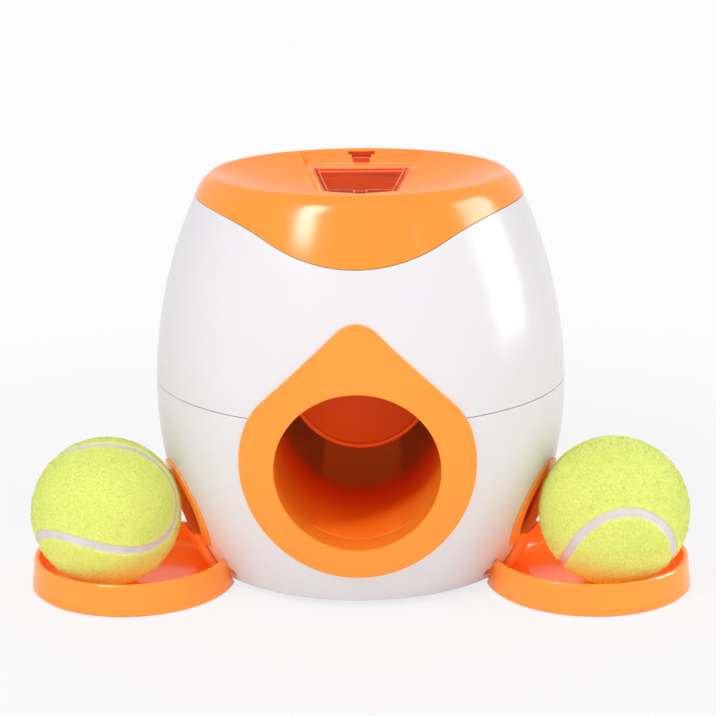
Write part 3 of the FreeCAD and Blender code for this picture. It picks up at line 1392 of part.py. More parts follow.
def balls():
    at = (BALL_CIRCLE * sine(S.ball_azimuth), -BALL_CIRCLE * cosine(S.ball_azimuth),
          S.tray_floor + S.ball_radius)
    core_outer = S.ball_radius - S.felt_thick
    core = cut("right_core_body", sphere("core_outer", core_outer - S.felt_gap, at),
               sphere("core_inner", core_outer - S.core_wall, at))
    felt = cut("right_felt_body", sphere("felt_outer", S.ball_radius, at),
               sphere("felt_inner", core_outer, at))
    for word, item in (("ball_core", core), ("ball_felt", felt)):
        right = node(f"right_{word}", item)
        node(f"left_{word}", mirrored(f"left_{word}_body", right))


# ------------------------------------------------------------------ build

def build():
    lower_shell()
    upper_shell()
    top_cover()
    treat_lid()
    front_panel()
    base_plate()
    rubber_feet()
    screws("base_screws", BASE_SCREWS, S.base_height + S.joint_gap / 2, S.boss_height + 2, -1)
    ball_tunnel()
    mechanism_frame()
    screws("frame_screws", TAB_SCREWS, FRAME_BOTTOM + S.tab_thick, 2 * S.tab_thick + 1, 1)
    axle_bushes()
    push_flap()
    shaft("flap_axle", S.flap_axle_back)
    clips("flap_axle_clips", S.flap_axle_back)
    flap_gear_sector()
    flap_spring()
    treat_hopper()
    screws("hopper_screws", LUG_SCREWS, S.cheek_top + S.joint_gap + S.lug_thick,
           S.lug_thick + S.lug_boss_height, 1)
    treat_drum()
    shaft("drum_shaft", DRUM_Y)
    clips("drum_shaft_clips", DRUM_Y)
    drum_pinion()
    treat_ducts()
    outlet_bezels()
    trays()
    balls()


def check_and_write():
    DOC.recompute()
    failed = [f"{item.Name}: {item.State}" for item in DOC.Objects
              if "Invalid" in item.State or "Error" in item.State]
    for item in NODES:
        if item.Shape.isNull() or not item.Shape.isValid() or not item.Shape.Solids:
            failed.append(f"{item.Label}: no valid solid")
    if failed:
        raise RuntimeError("features failed: " + ", ".join(failed))
    os.makedirs("parts", exist_ok=True)
    for item in NODES:
        item.Shape.exportStep(f"parts/{item.Label}.step")


build()
check_and_write()
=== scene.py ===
"""Looks of the ball-fed treat dispenser: camera, materials, stage, spring and felt balls.

Lengths are metres, in the CAD frame: +Z up, the ball mouth towards -Y.
"""
import math

import bmesh
import bpy
import numpy as np
from mathutils import Matrix, Vector


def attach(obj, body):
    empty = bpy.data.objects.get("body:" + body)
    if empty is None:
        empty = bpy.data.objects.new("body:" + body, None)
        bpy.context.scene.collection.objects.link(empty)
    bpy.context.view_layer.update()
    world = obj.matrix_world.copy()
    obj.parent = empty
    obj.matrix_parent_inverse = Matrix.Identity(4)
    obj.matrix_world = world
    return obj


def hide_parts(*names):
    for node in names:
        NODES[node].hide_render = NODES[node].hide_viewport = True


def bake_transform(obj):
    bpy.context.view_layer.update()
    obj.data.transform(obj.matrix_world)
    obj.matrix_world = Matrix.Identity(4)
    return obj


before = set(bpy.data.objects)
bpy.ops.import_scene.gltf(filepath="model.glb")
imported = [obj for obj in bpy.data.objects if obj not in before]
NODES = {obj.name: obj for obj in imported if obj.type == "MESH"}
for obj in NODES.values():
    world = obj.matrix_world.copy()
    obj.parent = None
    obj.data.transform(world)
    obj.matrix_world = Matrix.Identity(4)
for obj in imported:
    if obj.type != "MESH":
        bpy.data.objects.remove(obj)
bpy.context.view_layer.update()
MM = 0.001


def new_object(name, data):
    """An object that is in the scene."""
    thing = bpy.data.objects.new(name, data)
    bpy.context.scene.collection.objects.link(thing)
    return thing


# ------------------------------------------------------------------ camera
CAMERA_DISTANCE = 896.96 * MM
CAMERA_TILT = 0.2535             # radians below the horizon
CAMERA_ROLL = 0.009              # radians
CAMERA_YAW = 0.022               # radians
CAMERA_SHIFT_X = -1.147 * MM     # aim point, beside and above the origin
CAMERA_AIM_Z = 91.305 * MM
CAMERA_NEAR = 0.01
SENSOR_WIDTH = 36.0              # millimetres, which is what Blender asks for
PHOTO_WIDTH = 716.0              # pixels
FOCAL_PIXELS = 1996.6            # the photograph's focal length


def add_camera():
    """A camera with the photograph's viewpoint, tilt, roll and field of view."""
    tilted = Vector((0, math.cos(CAMERA_TILT), -math.sin(CAMERA_TILT)))
    level_up = Vector((0, math.sin(CAMERA_TILT), math.cos(CAMERA_TILT)))
    level_right = Vector((1, 0, 0))
    cos_roll = math.cos(CAMERA_ROLL)
    sin_roll = math.sin(CAMERA_ROLL)
    turn = Matrix.Rotation(CAMERA_YAW, 3, "Z")
    forward = turn @ tilted
    up = turn @ (level_up * cos_roll + level_right * sin_roll)
    right = turn @ (level_right * cos_roll - level_up * sin_roll)
    aim = Vector((0, 0, CAMERA_AIM_Z)) + right * CAMERA_SHIFT_X
    data = bpy.data.cameras.new("camera")
    data.sensor_width = SENSOR_WIDTH
    data.lens = SENSOR_WIDTH * FOCAL_PIXELS / PHOTO_WIDTH
    data.clip_start = CAMERA_NEAR
    camera = new_object("camera", data)
    pose = Matrix((right, up, -forward)).transposed().to_4x4()
    pose.translation = aim - forward * CAMERA_DISTANCE
    camera.matrix_world = pose
    bpy.context.scene.camera = camera


# ----------------------------------------------------------------- colours
def srgb(red, green, blue):
    """A linear colour from 0-255 screen values."""
    def linear(value):
        value /= 255.0
        return value / 12.92 if value <= 0.04045 else ((value + 0.055) / 1.055) ** 2.4
    return (linear(red), linear(green), linear(blue), 1.0)


ORANGE = srgb(252, 156, 66)
COVER_ORANGE = srgb(252, 150, 58)
TRAY_ORANGE = srgb(252, 155, 62)
# painted light on the walls of the lid's recess; painted shade deep in the hinge's seat and on the ledge
# under the lid
RECESS_PAINTED_LIGHT = srgb(255, 186, 110)
SEAT_PAINTED_SHADE = srgb(206, 84, 46)
LEDGE_PAINTED_SHADE = srgb(226, 104, 50)
HOPPER_ORANGE = srgb(226, 114, 22)
FLAP_ORANGE = srgb(232, 92, 8)
INNER_ORANGE = srgb(240, 84, 14)
WHITE = srgb(223, 221, 223)
BASE_WHITE = srgb(214, 212, 210)
GEAR_WHITE = srgb(232, 229, 218)
STEEL_GREY = srgb(188, 188, 190)
FOOT_BLACK = srgb(42, 42, 42)
CORE_BLACK = srgb(70, 66, 62)
LID_RIM_TINT = srgb(245, 216, 208)
# a deeper tint of the clear plastic, partly painted shade of the hollow under the pan and stem
LID_PAN_TINT_AND_SHADE = srgb(226, 178, 142)
FELT_YELLOW = srgb(224, 233, 118)
FELT_SHEEN = srgb(240, 255, 170)
SEAM_GREY = srgb(214, 204, 206)
FLOOR_GREY = srgb(234, 233, 234)
BACKDROP_WHITE = srgb(253, 252, 253)

# painted light: glow that a surface gives off by itself, though it is no lamp
PAINTED_GLOW_COLOUR = srgb(255, 62, 0)  # painted glow that lifts shaded orange plastic, in place of light bounced within it
# painted glow on the flap's face, painted highlight on the bead of its rim
FLAP_FACE_PAINTED_GLOW = (0.006, 0.002, 0.0, 1.0)
FLAP_RIM_PAINTED_HIGHLIGHT = srgb(124, 42, 14)
# painted highlight on the lid's rounded edges
LID_EDGE_PAINTED_HIGHLIGHT = srgb(255, 190, 160)

# the tunnel's colour with painted shade by the place along Y, light at the mouth and dark brown beyond the
# flap; its painted glow along Y; and that painted glow dimmed at the sides along X, which paints shaded
# side walls
TUNNEL_COLOUR_AND_SHADE = [
    (-75 * MM, srgb(254, 152, 44)),
    (-50 * MM, srgb(254, 134, 28)),
    (-30 * MM, srgb(250, 100, 14)),
    (-14 * MM, srgb(226, 72, 6)),
    (-6 * MM, srgb(160, 70, 30)),
    (30 * MM, srgb(150, 66, 30)),
]
# painted glints: the tunnel gives off light of its own, most at the mouth and beyond the flap
TUNNEL_PAINTED_GLINTS = [
    (-75 * MM, srgb(124, 40, 4)),
    (-50 * MM, srgb(70, 14, 0)),
    (-34 * MM, srgb(14, 2, 0)),
    (-14 * MM, srgb(30, 4, 0)),
    (-6 * MM, srgb(84, 26, 4)),
    (30 * MM, srgb(108, 36, 7)),
]
# painted shade on the tunnel's sides: the painted glints dim beyond 17 mm either side, as if on shaded side
# walls
TUNNEL_SIDE_SHADE = [
    (-24 * MM, srgb(168, 168, 168)),
    (-18.5 * MM, srgb(178, 178, 178)),
    (-17 * MM, srgb(255, 255, 255)),
    (17 * MM, srgb(255, 255, 255)),
    (18.5 * MM, srgb(178, 178, 178)),
    (24 * MM, srgb(168, 168, 168)),
]

# ------------------------------------------------------- places with painted light and shade
MOUTH_HEIGHT = 65.0 * MM
MOUTH_RADIUS = 34.8 * MM         # just outside the collar's bore
FLAP_HEIGHT = 82.0 * MM
FLAP_FACE_RADIUS = 31.4 * MM     # the flap's flat face, up to its bead
# the lid in its own slope: its middle, lean, taper, and the pan inside its flange
LID_MIDDLE_Y = 38.0 * MM
LID_LEAN = 0.962                 # cosine of the hatch's tilt
LID_SLANT = 0.236                # how much half width the pan gains per length
PAN_HALF_WIDTH = 18.9 * MM
PAN_HALF_LENGTH = 13.8 * MM
LID_BACK = 16.2 * MM             # the stem starts here
# the dish is part of a ball; what lies deeper than its skin behind the lid is the recess
DISH_CURVE = 141.5 * MM
DISH_CENTRE = 303.0 * MM
DISH_SKIN = 0.25 * MM
RECESS_BACK = 50.0 * MM
RECESS_LOW = 166.0 * MM
RECESS_REACH = 63.3 * MM         # inside the lip, so the cover's outside keeps its orange
SEAT_HALF_WIDTH = 6.6 * MM
SEAT_FRONT = 58.2 * MM
LEDGE_HEIGHT = 169.0 * MM
LEDGE_HALF_WIDTH = 22.0 * MM

# --------------------------------------------------------------- materials
EDGE_ROUND = 0.35 * MM           # how far the shading rounds a moulded edge
PANEL_EDGE_ROUND = 0.8 * MM
LID_EDGE_ROUND = 0.6 * MM
LID_EDGE_HIGHLIGHT_STRENGTH = 0.75         # strength of the painted highlight on a rounded edge
LID_EDGE_TURN = 0.85             # cosine between the flat and the rounded surface where the painted highlight is at full strength
DRIFT_ENDS = (0.35, 0.65)        # noise values of the darkest and the lightest tone
UNDER_SKIN_REACH = (1.0, 0.35, 0.1)  # how far red, green and blue light goes, in the scale below
UNDER_SKIN_SCALE = 0.004


def new_material(name):
    """A material, its node tree and its surface shader."""
    material = bpy.data.materials.new(name)
    material.use_nodes = True
    tree = material.node_tree
    return material, tree, tree.nodes["Principled BSDF"]


def set_inputs(node, values):
    for name, value in values.items():
        node.inputs[name].default_value = value


def object_place(tree):
    """The shaded point in the object's own coordinates, which move with the piece."""
    return tree.nodes.new("ShaderNodeTexCoord").outputs["Object"]


def object_axes(tree):
    """The object's own X, Y and Z as three sockets."""
    parts = tree.nodes.new("ShaderNodeSeparateXYZ")
    tree.links.new(object_place(tree), parts.inputs[0])
    return parts.outputs


def object_noise(tree, scale, detail):
    noise = tree.nodes.new("ShaderNodeTexNoise")
    set_inputs(noise, {"Scale": scale, "Detail": detail})
    tree.links.new(object_place(tree), noise.inputs["Vector"])
    return noise.outputs["Fac"]


def calc(tree, operation, *values):
    """One step of arithmetic on sockets or numbers."""
    step = tree.nodes.new("ShaderNodeMath")
    step.operation = operation
    for socket, value in zip(step.inputs, values):
        if isinstance(value, (int, float)):
            socket.default_value = value
        else:
            tree.links.new(value, socket)
    return step.outputs[0]


def all_of(tree, first, *others):
    """A mask that is 1 where each of the masks is 1."""
    mask = first
    for other in others:
        mask = calc(tree, "MULTIPLY", mask, other)
    return mask


def within(tree, value, reach):
    """A mask that is 1 where the value lies between -reach and reach."""
    return calc(tree, "LESS_THAN", calc(tree, "ABSOLUTE", value), reach)


def length(tree, first, second):
    """The length of an arrow with two parts."""
    first_square = calc(tree, "MULTIPLY", first, first)
    second_square = calc(tree, "MULTIPLY", second, second)
    return calc(tree, "SQRT", calc(tree, "ADD", first_square, second_square))


def distance_to(tree, point):
    """Distance from a point in the object's own coordinates."""
    reach = tree.nodes.new("ShaderNodeVectorMath")
    reach.operation = "DISTANCE"
    reach.inputs[1].default_value = point
    tree.links.new(object_place(tree), reach.inputs[0])
    return reach.outputs["Value"]


def distance_to_y_line(tree, height):
    """Distance from a line along Y at x = 0 and the given height."""
    x, _, z = object_axes(tree)
    return length(tree, x, calc(tree, "SUBTRACT", z, height))


def map_range(tree, value, source=(0.0, 1.0), target=(0.0, 1.0), kind="LINEAR"):
    """The value moved from the source span to the target span, and held inside it."""
    step = tree.nodes.new("ShaderNodeMapRange")
    step.interpolation_type = kind
    set_inputs(step, {"From Min": source[0], "From Max": source[1]})
    set_inputs(step, {"To Min": target[0], "To Max": target[1]})
    tree.links.new(value, step.inputs["Value"])
    return step.outputs["Result"]


def rounded_normal(tree, radius, samples):
    """The surface's direction, with edges rounded to the radius."""
    bevel = tree.nodes.new("ShaderNodeBevel")
    bevel.samples = samples
    bevel.inputs["Radius"].default_value = radius
    return bevel.outputs["Normal"]


def times(tree, first, second):
    """The product of two colours."""
    mix = tree.nodes.new("ShaderNodeMixRGB")
    mix.blend_type = "MULTIPLY"
    mix.inputs["Fac"].default_value = 1.0
    tree.links.new(first, mix.inputs["Color1"])
    tree.links.new(second, mix.inputs["Color2"])
    return mix.outputs["Color"]


def where(tree, mask, socket, colour):
    """Turn the socket to another colour where the mask is 1."""
    mix = tree.nodes.new("ShaderNodeMixRGB")
    tree.links.new(mask, mix.inputs["Fac"])
    if socket.is_linked:
        tree.links.new(socket.links[0].from_socket, mix.inputs["Color1"])
    else:
        mix.inputs["Color1"].default_value = socket.default_value
    mix.inputs["Color2"].default_value = colour
    tree.links.new(mix.outputs["Color"], socket)


def tones_along(tree, axis, tones):
    """A colour that follows one of the object's own axes: (place, colour) pairs, lowest first."""
    first, last = tones[0][0], tones[-1][0]
    ramp = tree.nodes.new("ShaderNodeValToRGB")
    stops = ramp.color_ramp.elements
    for index, (spot, colour) in enumerate(tones):
        stop = stops[index] if index < 2 else stops.new(1.0)
        stop.position = (spot - first) / (last - first)
        stop.color = colour
    along = map_range(tree, object_axes(tree)[axis], source=(first, last))
    tree.links.new(along, ramp.inputs["Fac"])
    return ramp.outputs["Color"]


def colour_drift(tree, shader, colour, scale, amount):
    """Base colour that drifts a little between a darker and a lighter tone."""
    ramp = tree.nodes.new("ShaderNodeValToRGB")
    for stop, position, shade in zip(ramp.color_ramp.elements, DRIFT_ENDS, (1 - amount, 1 + amount)):
        stop.position = position
        stop.color = (*[min(1.0, part * shade) for part in colour[:3]], 1.0)
    tree.links.new(object_noise(tree, scale, detail=2.0), ramp.inputs["Fac"])
    tree.links.new(ramp.outputs["Color"], shader.inputs["Base Color"])


def roughness_drift(tree, shader, low, high, scale):
    """Roughness that drifts between two values."""
    drift = map_range(tree, object_noise(tree, scale, detail=6.0), target=(low, high))
    tree.links.new(drift, shader.inputs["Roughness"])


def fine_bump(tree, shader, scale, height):
    """Small hills and hollows in the skin."""
    bump = tree.nodes.new("ShaderNodeBump")
    set_inputs(bump, {"Strength": 1.0, "Distance": height})
    tree.links.new(object_noise(tree, scale, detail=4.0), bump.inputs["Height"])
    tree.links.new(bump.outputs["Normal"], shader.inputs["Normal"])
    return bump


def plastic(name, colour, rough=(0.14, 0.22), drift=0.02, bump=0.00003, specular=0.5, glow=0.0,
            bright=0.0, round_off=EDGE_ROUND):
    """Moulded plastic: faint flow marks in colour, gloss that varies, a soft skin, rounded edges.

    glow is the share of light that goes under the skin; the argument after it is the strength of a painted
    glow that lifts the plastic out of its shade.
    """
    material, tree, shader = new_material(name)
    colour_drift(tree, shader, colour, scale=14.0, amount=drift)
    roughness_drift(tree, shader, *rough, scale=60.0)
    skin = fine_bump(tree, shader, scale=45.0, height=bump)
    tree.links.new(rounded_normal(tree, round_off, samples=4), skin.inputs["Normal"])
    shader.inputs["Specular IOR Level"].default_value = specular
    if glow:
        set_inputs(shader, {"Subsurface Weight": glow, "Subsurface Radius": UNDER_SKIN_REACH,
                            "Subsurface Scale": UNDER_SKIN_SCALE})
    # painted glow: the plastic gives off orange light of its own, lifting its shade
    if bright:
        set_inputs(shader, {"Emission Color": PAINTED_GLOW_COLOUR, "Emission Strength": bright})
    return material, tree, shader


def plain_plastic(name, colour, **looks):
    return plastic(name, colour, **looks)[0]


def bore_plastic(name, **looks):
    """The tunnel's plastic: painted shade and a painted glow follow the way in, and the painted glow is
    dimmed at the sides.
    """
    material, tree, shader = plastic(name, (1.0, 1.0, 1.0, 1.0), **looks)
    base = shader.inputs["Base Color"]
    tree.links.new(times(tree, base.links[0].from_socket, tones_along(tree, "Y", TUNNEL_COLOUR_AND_SHADE)), base)
    glint = times(tree, tones_along(tree, "Y", TUNNEL_PAINTED_GLINTS), tones_along(tree, "X", TUNNEL_SIDE_SHADE))
    tree.links.new(glint, shader.inputs["Emission Color"])
    return material


def mouth_plastic(name, **looks):
    """The front panel's plastic, with the deeper tone of the bore on its collar's inside."""
    material, tree, shader = plastic(name, ORANGE, **looks)
    inside = calc(tree, "LESS_THAN", distance_to_y_line(tree, MOUTH_HEIGHT), MOUTH_RADIUS)
    where(tree, inside, shader.inputs["Base Color"], TUNNEL_COLOUR_AND_SHADE[0][1])
    return material


def cover_plastic(name, **looks):
    """The top cover's plastic, with painted light on the walls of the lid's recess and painted shade on its
    ledge and deep in the hinge's seat.
    """
    material, tree, shader = plastic(name, COVER_ORANGE, **looks)
    x, y, z = object_axes(tree)
    deep = calc(tree, "GREATER_THAN", distance_to(tree, (0, 0, DISH_CENTRE)), DISH_CURVE + DISH_SKIN)
    behind = calc(tree, "GREATER_THAN", y, RECESS_BACK)
    above = calc(tree, "GREATER_THAN", z, RECESS_LOW)
    inside_lip = calc(tree, "LESS_THAN", length(tree, x, y), RECESS_REACH)
    recess = all_of(tree, deep, behind, above, inside_lip)
    low = calc(tree, "LESS_THAN", z, LEDGE_HEIGHT)
    ledge = all_of(tree, recess, low, within(tree, x, LEDGE_HALF_WIDTH))
    far_back = calc(tree, "GREATER_THAN", y, SEAT_FRONT)
    seat = all_of(tree, recess, far_back, within(tree, x, SEAT_HALF_WIDTH))
    for mask, colour in ((recess, RECESS_PAINTED_LIGHT), (ledge, LEDGE_PAINTED_SHADE), (seat, SEAT_PAINTED_SHADE)):
        where(tree, mask, shader.inputs["Base Color"], colour)
    return material


def flap_plastic(name, **looks):
    """The flap's plastic, with a faint painted glow on its face and a painted highlight on the bead of its
    rim.
    """
    material, tree, shader = plastic(name, FLAP_ORANGE, **looks)
    shader.inputs["Emission Color"].default_value = FLAP_FACE_PAINTED_GLOW
    rim = calc(tree, "GREATER_THAN", distance_to_y_line(tree, FLAP_HEIGHT), FLAP_FACE_RADIUS)
    where(tree, rim, shader.inputs["Emission Color"], FLAP_RIM_PAINTED_HIGHLIGHT)
    return material


def rubber(name, colour):
    """Matt moulded rubber."""
    material, tree, shader = new_material(name)
    colour_drift(tree, shader, colour, scale=90.0, amount=0.12)
    roughness_drift(tree, shader, 0.62, 0.8, scale=200.0)
    fine_bump(tree, shader, scale=900.0, height=0.00006)
    return material


def steel(name):
    """Drawn steel with a dull shine."""
    material, tree, shader = new_material(name)
    shader.inputs["Metallic"].default_value = 1.0
    colour_drift(tree, shader, STEEL_GREY, scale=120.0, amount=0.06)
    roughness_drift(tree, shader, 0.22, 0.38, scale=700.0)
    fine_bump(tree, shader, scale=1500.0, height=0.00001)
    return material


def clear_plastic(name):
    """The treat lid's clear plastic: its pan and stem take a deeper tint that is partly painted shade, and
    its edges carry a painted highlight.
    """
    material, tree, shader = new_material(name)
    set_inputs(shader, {"Base Color": LID_RIM_TINT, "Transmission Weight": 0.97, "IOR": 1.04})
    roughness_drift(tree, shader, 0.02, 0.10, scale=90.0)
    fine_bump(tree, shader, scale=60.0, height=0.00002)
    # the pan and the stem take the deeper tint, which partly paints the shade beneath them
    x, y, _ = object_axes(tree)
    along = calc(tree, "DIVIDE", calc(tree, "SUBTRACT", y, LID_MIDDLE_Y), LID_LEAN)
    half_width = calc(tree, "MULTIPLY_ADD", along, LID_SLANT, PAN_HALF_WIDTH)
    pan = all_of(tree, within(tree, x, half_width), within(tree, along, PAN_HALF_LENGTH))
    stem = calc(tree, "GREATER_THAN", along, LID_BACK)
    where(tree, calc(tree, "MAXIMUM", pan, stem), shader.inputs["Base Color"], LID_PAN_TINT_AND_SHADE)
    # painted highlight: where the rounded normal turns from the flat one, the lid gives off pale light
    turn = tree.nodes.new("ShaderNodeVectorMath")
    turn.operation = "DOT_PRODUCT"
    tree.links.new(rounded_normal(tree, LID_EDGE_ROUND, samples=6), turn.inputs[0])
    tree.links.new(tree.nodes.new("ShaderNodeNewGeometry").outputs["True Normal"], turn.inputs[1])
    edge = map_range(tree, turn.outputs["Value"], source=(1.0, LID_EDGE_TURN),
                     target=(0.0, LID_EDGE_HIGHLIGHT_STRENGTH))
    tree.links.new(edge, shader.inputs["Emission Strength"])
    shader.inputs["Emission Color"].default_value = LID_EDGE_PAINTED_HIGHLIGHT
    return material


# each plastic's painted glow strength stands after its glow; the flap and the tunnel give off their own
# painted glow colours at full strength
MATERIALS = {
    "orange": plain_plastic("orange_plastic", ORANGE, rough=(0.15, 0.22), specular=0.12, glow=0.5,
                            bright=0.1),
    "cover": cover_plastic("cover_orange_plastic", rough=(0.15, 0.22), specular=0.16, glow=0.5, bright=0.1),
    "tray": plain_plastic("tray_orange_plastic", TRAY_ORANGE, rough=(0.14, 0.2), specular=0.3, glow=0.5,
                          bright=0.14),
    "panel": mouth_plastic("panel_orange_plastic", rough=(0.15, 0.22), specular=0.12, glow=0.5, bright=0.1,
                           round_off=PANEL_EDGE_ROUND),
    "flap": flap_plastic("flap_orange_plastic", rough=(0.32, 0.44), specular=0.2, glow=0.4, bright=1.0),
    "tunnel": bore_plastic("tunnel_orange_plastic", rough=(0.2, 0.28), specular=0.2, glow=0.4, bright=1.0),
    "hopper": plain_plastic("hopper_orange_plastic", HOPPER_ORANGE, rough=(0.3, 0.4), specular=0.2,
                            glow=0.3),
    "inner": plain_plastic("inner_orange_plastic", INNER_ORANGE, rough=(0.32, 0.44), specular=0.2, glow=0.5,
                           bright=0.01),
    "white": plain_plastic("white_plastic", WHITE, rough=(0.18, 0.26), drift=0.006, specular=0.08,
                           glow=0.05),
    "base": plain_plastic("base_plastic", BASE_WHITE, rough=(0.45, 0.6), bump=0.00008),
    "gear": plain_plastic("gear_plastic", GEAR_WHITE, rough=(0.35, 0.5)),
    "clear": clear_plastic("clear_plastic"),
    "steel": steel("steel"),
    "rubber": rubber("foot_rubber", FOOT_BLACK),
    "core": rubber("core_rubber", CORE_BLACK),
}

NODE_MATERIALS = {
    "orange": ["left_outlet_bezel", "right_outlet_bezel"],
    "cover": ["top_cover"],
    "panel": ["front_panel"],
    "flap": ["push_flap"],
    "tray": ["left_tray", "right_tray"],
    "tunnel": ["ball_tunnel"],
    "hopper": ["treat_hopper"],
    "inner": ["left_treat_duct", "right_treat_duct", "mechanism_frame"],
    "white": ["lower_shell", "upper_shell"],
    "base": ["base_plate"],
    "gear": ["flap_gear_sector", "drum_pinion", "treat_drum", "axle_bushes"],
    "clear": ["treat_lid"],
    "steel": ["flap_axle", "drum_shaft", "flap_axle_clips", "drum_shaft_clips", "base_screws",
              "frame_screws", "hopper_screws", "flap_spring"],
    "rubber": ["rubber_feet"],
    "core": ["left_ball_core", "right_ball_core"],
}


def dress_nodes():
    for key, names in NODE_MATERIALS.items():
        for name in names:
            piece = NODES[name]
            piece.data.materials.clear()
            piece.data.materials.append(MATERIALS[key])


# ------------------------------------------------------------------- stage
WORLD_LIGHT = 0.55
FLOOR_HALF_WIDTH = 6.0
FLOOR_NEAR = 0.16                # the floor is a mix of shadow and plain white up to here
FLOOR_FAR = 0.5                  # and plain white from here on
FLOOR_NEAR_WHITE = 0.8           # the plain white's share near the object
BALL_X = 110.0 * MM
BALL_Y = -47.15 * MM
BALL_Z = 35.0 * MM
# the warm disk of light in each tray
BOUNCE_SIZE = 84.0 * MM
BOUNCE_Z = 4.2 * MM
BOUNCE_POWER = 0.009
BOUNCE_COLOUR = (1.0, 0.3, 0.04)
LAMP_AIM = (0, 0, 0.09)
# per lamp: direction from the aim point, distance, width and height, power
SOFT_BOXES = {
    "top_box": ((0.0, -0.12, 1.0), 1.2, (1.6, 1.2), 2.5),
    "key_box": ((-0.5, -0.6, 0.62), 1.1, (0.16, 0.16), 3.7),
    "right_box": ((0.97, -0.1, 0.25), 1.1, (0.5, 0.8), 3.2),
    "low_front_box": ((0.1, -0.97, 0.1), 1.2, (0.9, 0.4), 3.7),
    "back_box": ((0.1, 0.9, 0.42), 1.2, (1.2, 0.7), 2.2),
}
GLEAMS = {
    "left_gleam": ((-0.43, -0.547, 0.718), 1.0, (0.2, 0.5), 17.0),
    "right_gleam": ((0.94, 0.05, 0.36), 1.0, (0.46, 0.72), 22.0),
    "front_streak": ((0.526, -0.632, 0.569), 1.0, (0.012, 0.1), 0.12),
}


def white_for_eyes(tree, lit, plain, share=1.0):
    """Mix a lit closure with a share of a plain white one, for camera, gloss and glass rays only."""
    path = tree.nodes.new("ShaderNodeLightPath").outputs
    seen = calc(tree, "MAXIMUM", path["Is Camera Ray"], path["Is Glossy Ray"])
    seen = calc(tree, "MAXIMUM", seen, path["Is Transmission Ray"])
    mix = tree.nodes.new("ShaderNodeMixShader")
    tree.links.new(calc(tree, "MULTIPLY", seen, share), mix.inputs["Fac"])
    tree.links.new(lit, mix.inputs[1])
    tree.links.new(plain, mix.inputs[2])
    return mix.outputs[0]


def add_floor():
    """A pale floor that keeps the shadow near the object and is plain white far from it."""
    mesh = bpy.data.meshes.new("floor")
    far = FLOOR_HALF_WIDTH
    mesh.from_pydata([(-far, -far, 0), (far, -far, 0), (far, far, 0), (-far, far, 0)], [], [(0, 1, 2, 3)])
    floor = new_object("floor", mesh)
    material, tree, shader = new_material("floor_white")
    set_inputs(shader, {"Base Color": FLOOR_GREY, "Roughness": 0.8, "Specular IOR Level": 0.1})
    share = map_range(tree, distance_to(tree, (0, 0, 0)), source=(FLOOR_NEAR, FLOOR_FAR),
                      target=(FLOOR_NEAR_WHITE, 1.0), kind="SMOOTHSTEP")
    plain = tree.nodes.new("ShaderNodeEmission")
    plain.inputs["Color"].default_value = BACKDROP_WHITE
    mixed = white_for_eyes(tree, shader.outputs[0], plain.outputs[0], share)
    tree.links.new(mixed, tree.nodes["Material Output"].inputs["Surface"])
    mesh.materials.append(material)


def add_world():
    """Even light from all sides, which the camera sees as plain white."""
    world = bpy.data.worlds.new("studio")
    bpy.context.scene.world = world
    world.use_nodes = True
    tree = world.node_tree
    lit = tree.nodes["Background"]
    set_inputs(lit, {"Color": (1.0, 1.0, 1.0, 1.0), "Strength": WORLD_LIGHT})
    plain = tree.nodes.new("ShaderNodeBackground")
    set_inputs(plain, {"Color": BACKDROP_WHITE, "Strength": 1.0})
    mixed = white_for_eyes(tree, lit.outputs[0], plain.outputs[0])
    tree.links.new(mixed, tree.nodes["World Output"].inputs["Surface"])


def area_light(name, direction, distance, size, power, gleam):
    """A box that looks at the object: a gleam shows in gloss only, any other lights matt surfaces only."""
    data = bpy.data.lights.new(name, "AREA")
    data.shape = "RECTANGLE"
    data.size, data.size_y = size
    data.energy = power
    way = Vector(direction).normalized()
    lamp = new_object(name, data)
    lamp.location = Vector(LAMP_AIM) + way * distance
    lamp.rotation_euler = (-way).to_track_quat("-Z", "Y").to_euler()
    lamp.visible_diffuse = not gleam
    lamp.visible_glossy = gleam


def add_tray_bounce(x):
    """The warm light that a glossy orange tray throws up at the ball in it."""
    data = bpy.data.lights.new("tray_bounce", "AREA")
    data.shape = "DISK"
    data.size = BOUNCE_SIZE
    data.energy = BOUNCE_POWER
    data.color = BOUNCE_COLOUR
    lamp = new_object("tray_bounce", data)
    lamp.location = (x, BALL_Y, BOUNCE_Z)
    lamp.rotation_euler = (math.pi, 0.0, 0.0)
    lamp.visible_camera = False
    lamp.visible_glossy = False
    lamp.visible_transmission = False


def add_lights():
    for x in (-BALL_X, BALL_X):
        add_tray_bounce(x)
    for name, sizes in SOFT_BOXES.items():
        area_light(name, *sizes, gleam=False)
    for name, sizes in GLEAMS.items():
        area_light(name, *sizes, gleam=True)


def winding_spring():
    """A fixed copy of the flap's torsion spring, whose one leg sits on the frame and the other on the flap;
    the imported piece is hidden.
    """
    mesh = NODES["flap_spring"].data.copy()
    mesh.name = "flap_spring_winding"
    spring = new_object("flap_spring_winding", mesh)
    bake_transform(spring)
    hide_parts("flap_spring")


# ------------------------------------------------------------------- balls
BALL_RADIUS = 32.5 * MM
BALL_SUBDIVISIONS = 7
SEAM_POINTS = 1440
SEAM_BATCHES = 40                # directions are compared with the seam in this many lots
SEAM_HALF_WIDTH = 1.9 * MM
SEAM_DEPTH = 0.7 * MM
# the felt's surface, by the distance from the seam's edge
FELT_EDGE = (-0.25 * MM, 0.45 * MM)  # it rises out of the seam between these
FELT_SWELL = 0.25 * MM           # it stands up a little beside the seam
FELT_SWELL_SPAN = (0.6 * MM, 4 * MM)  # and settles between these
FELT_UNEVEN = 0.045 * MM
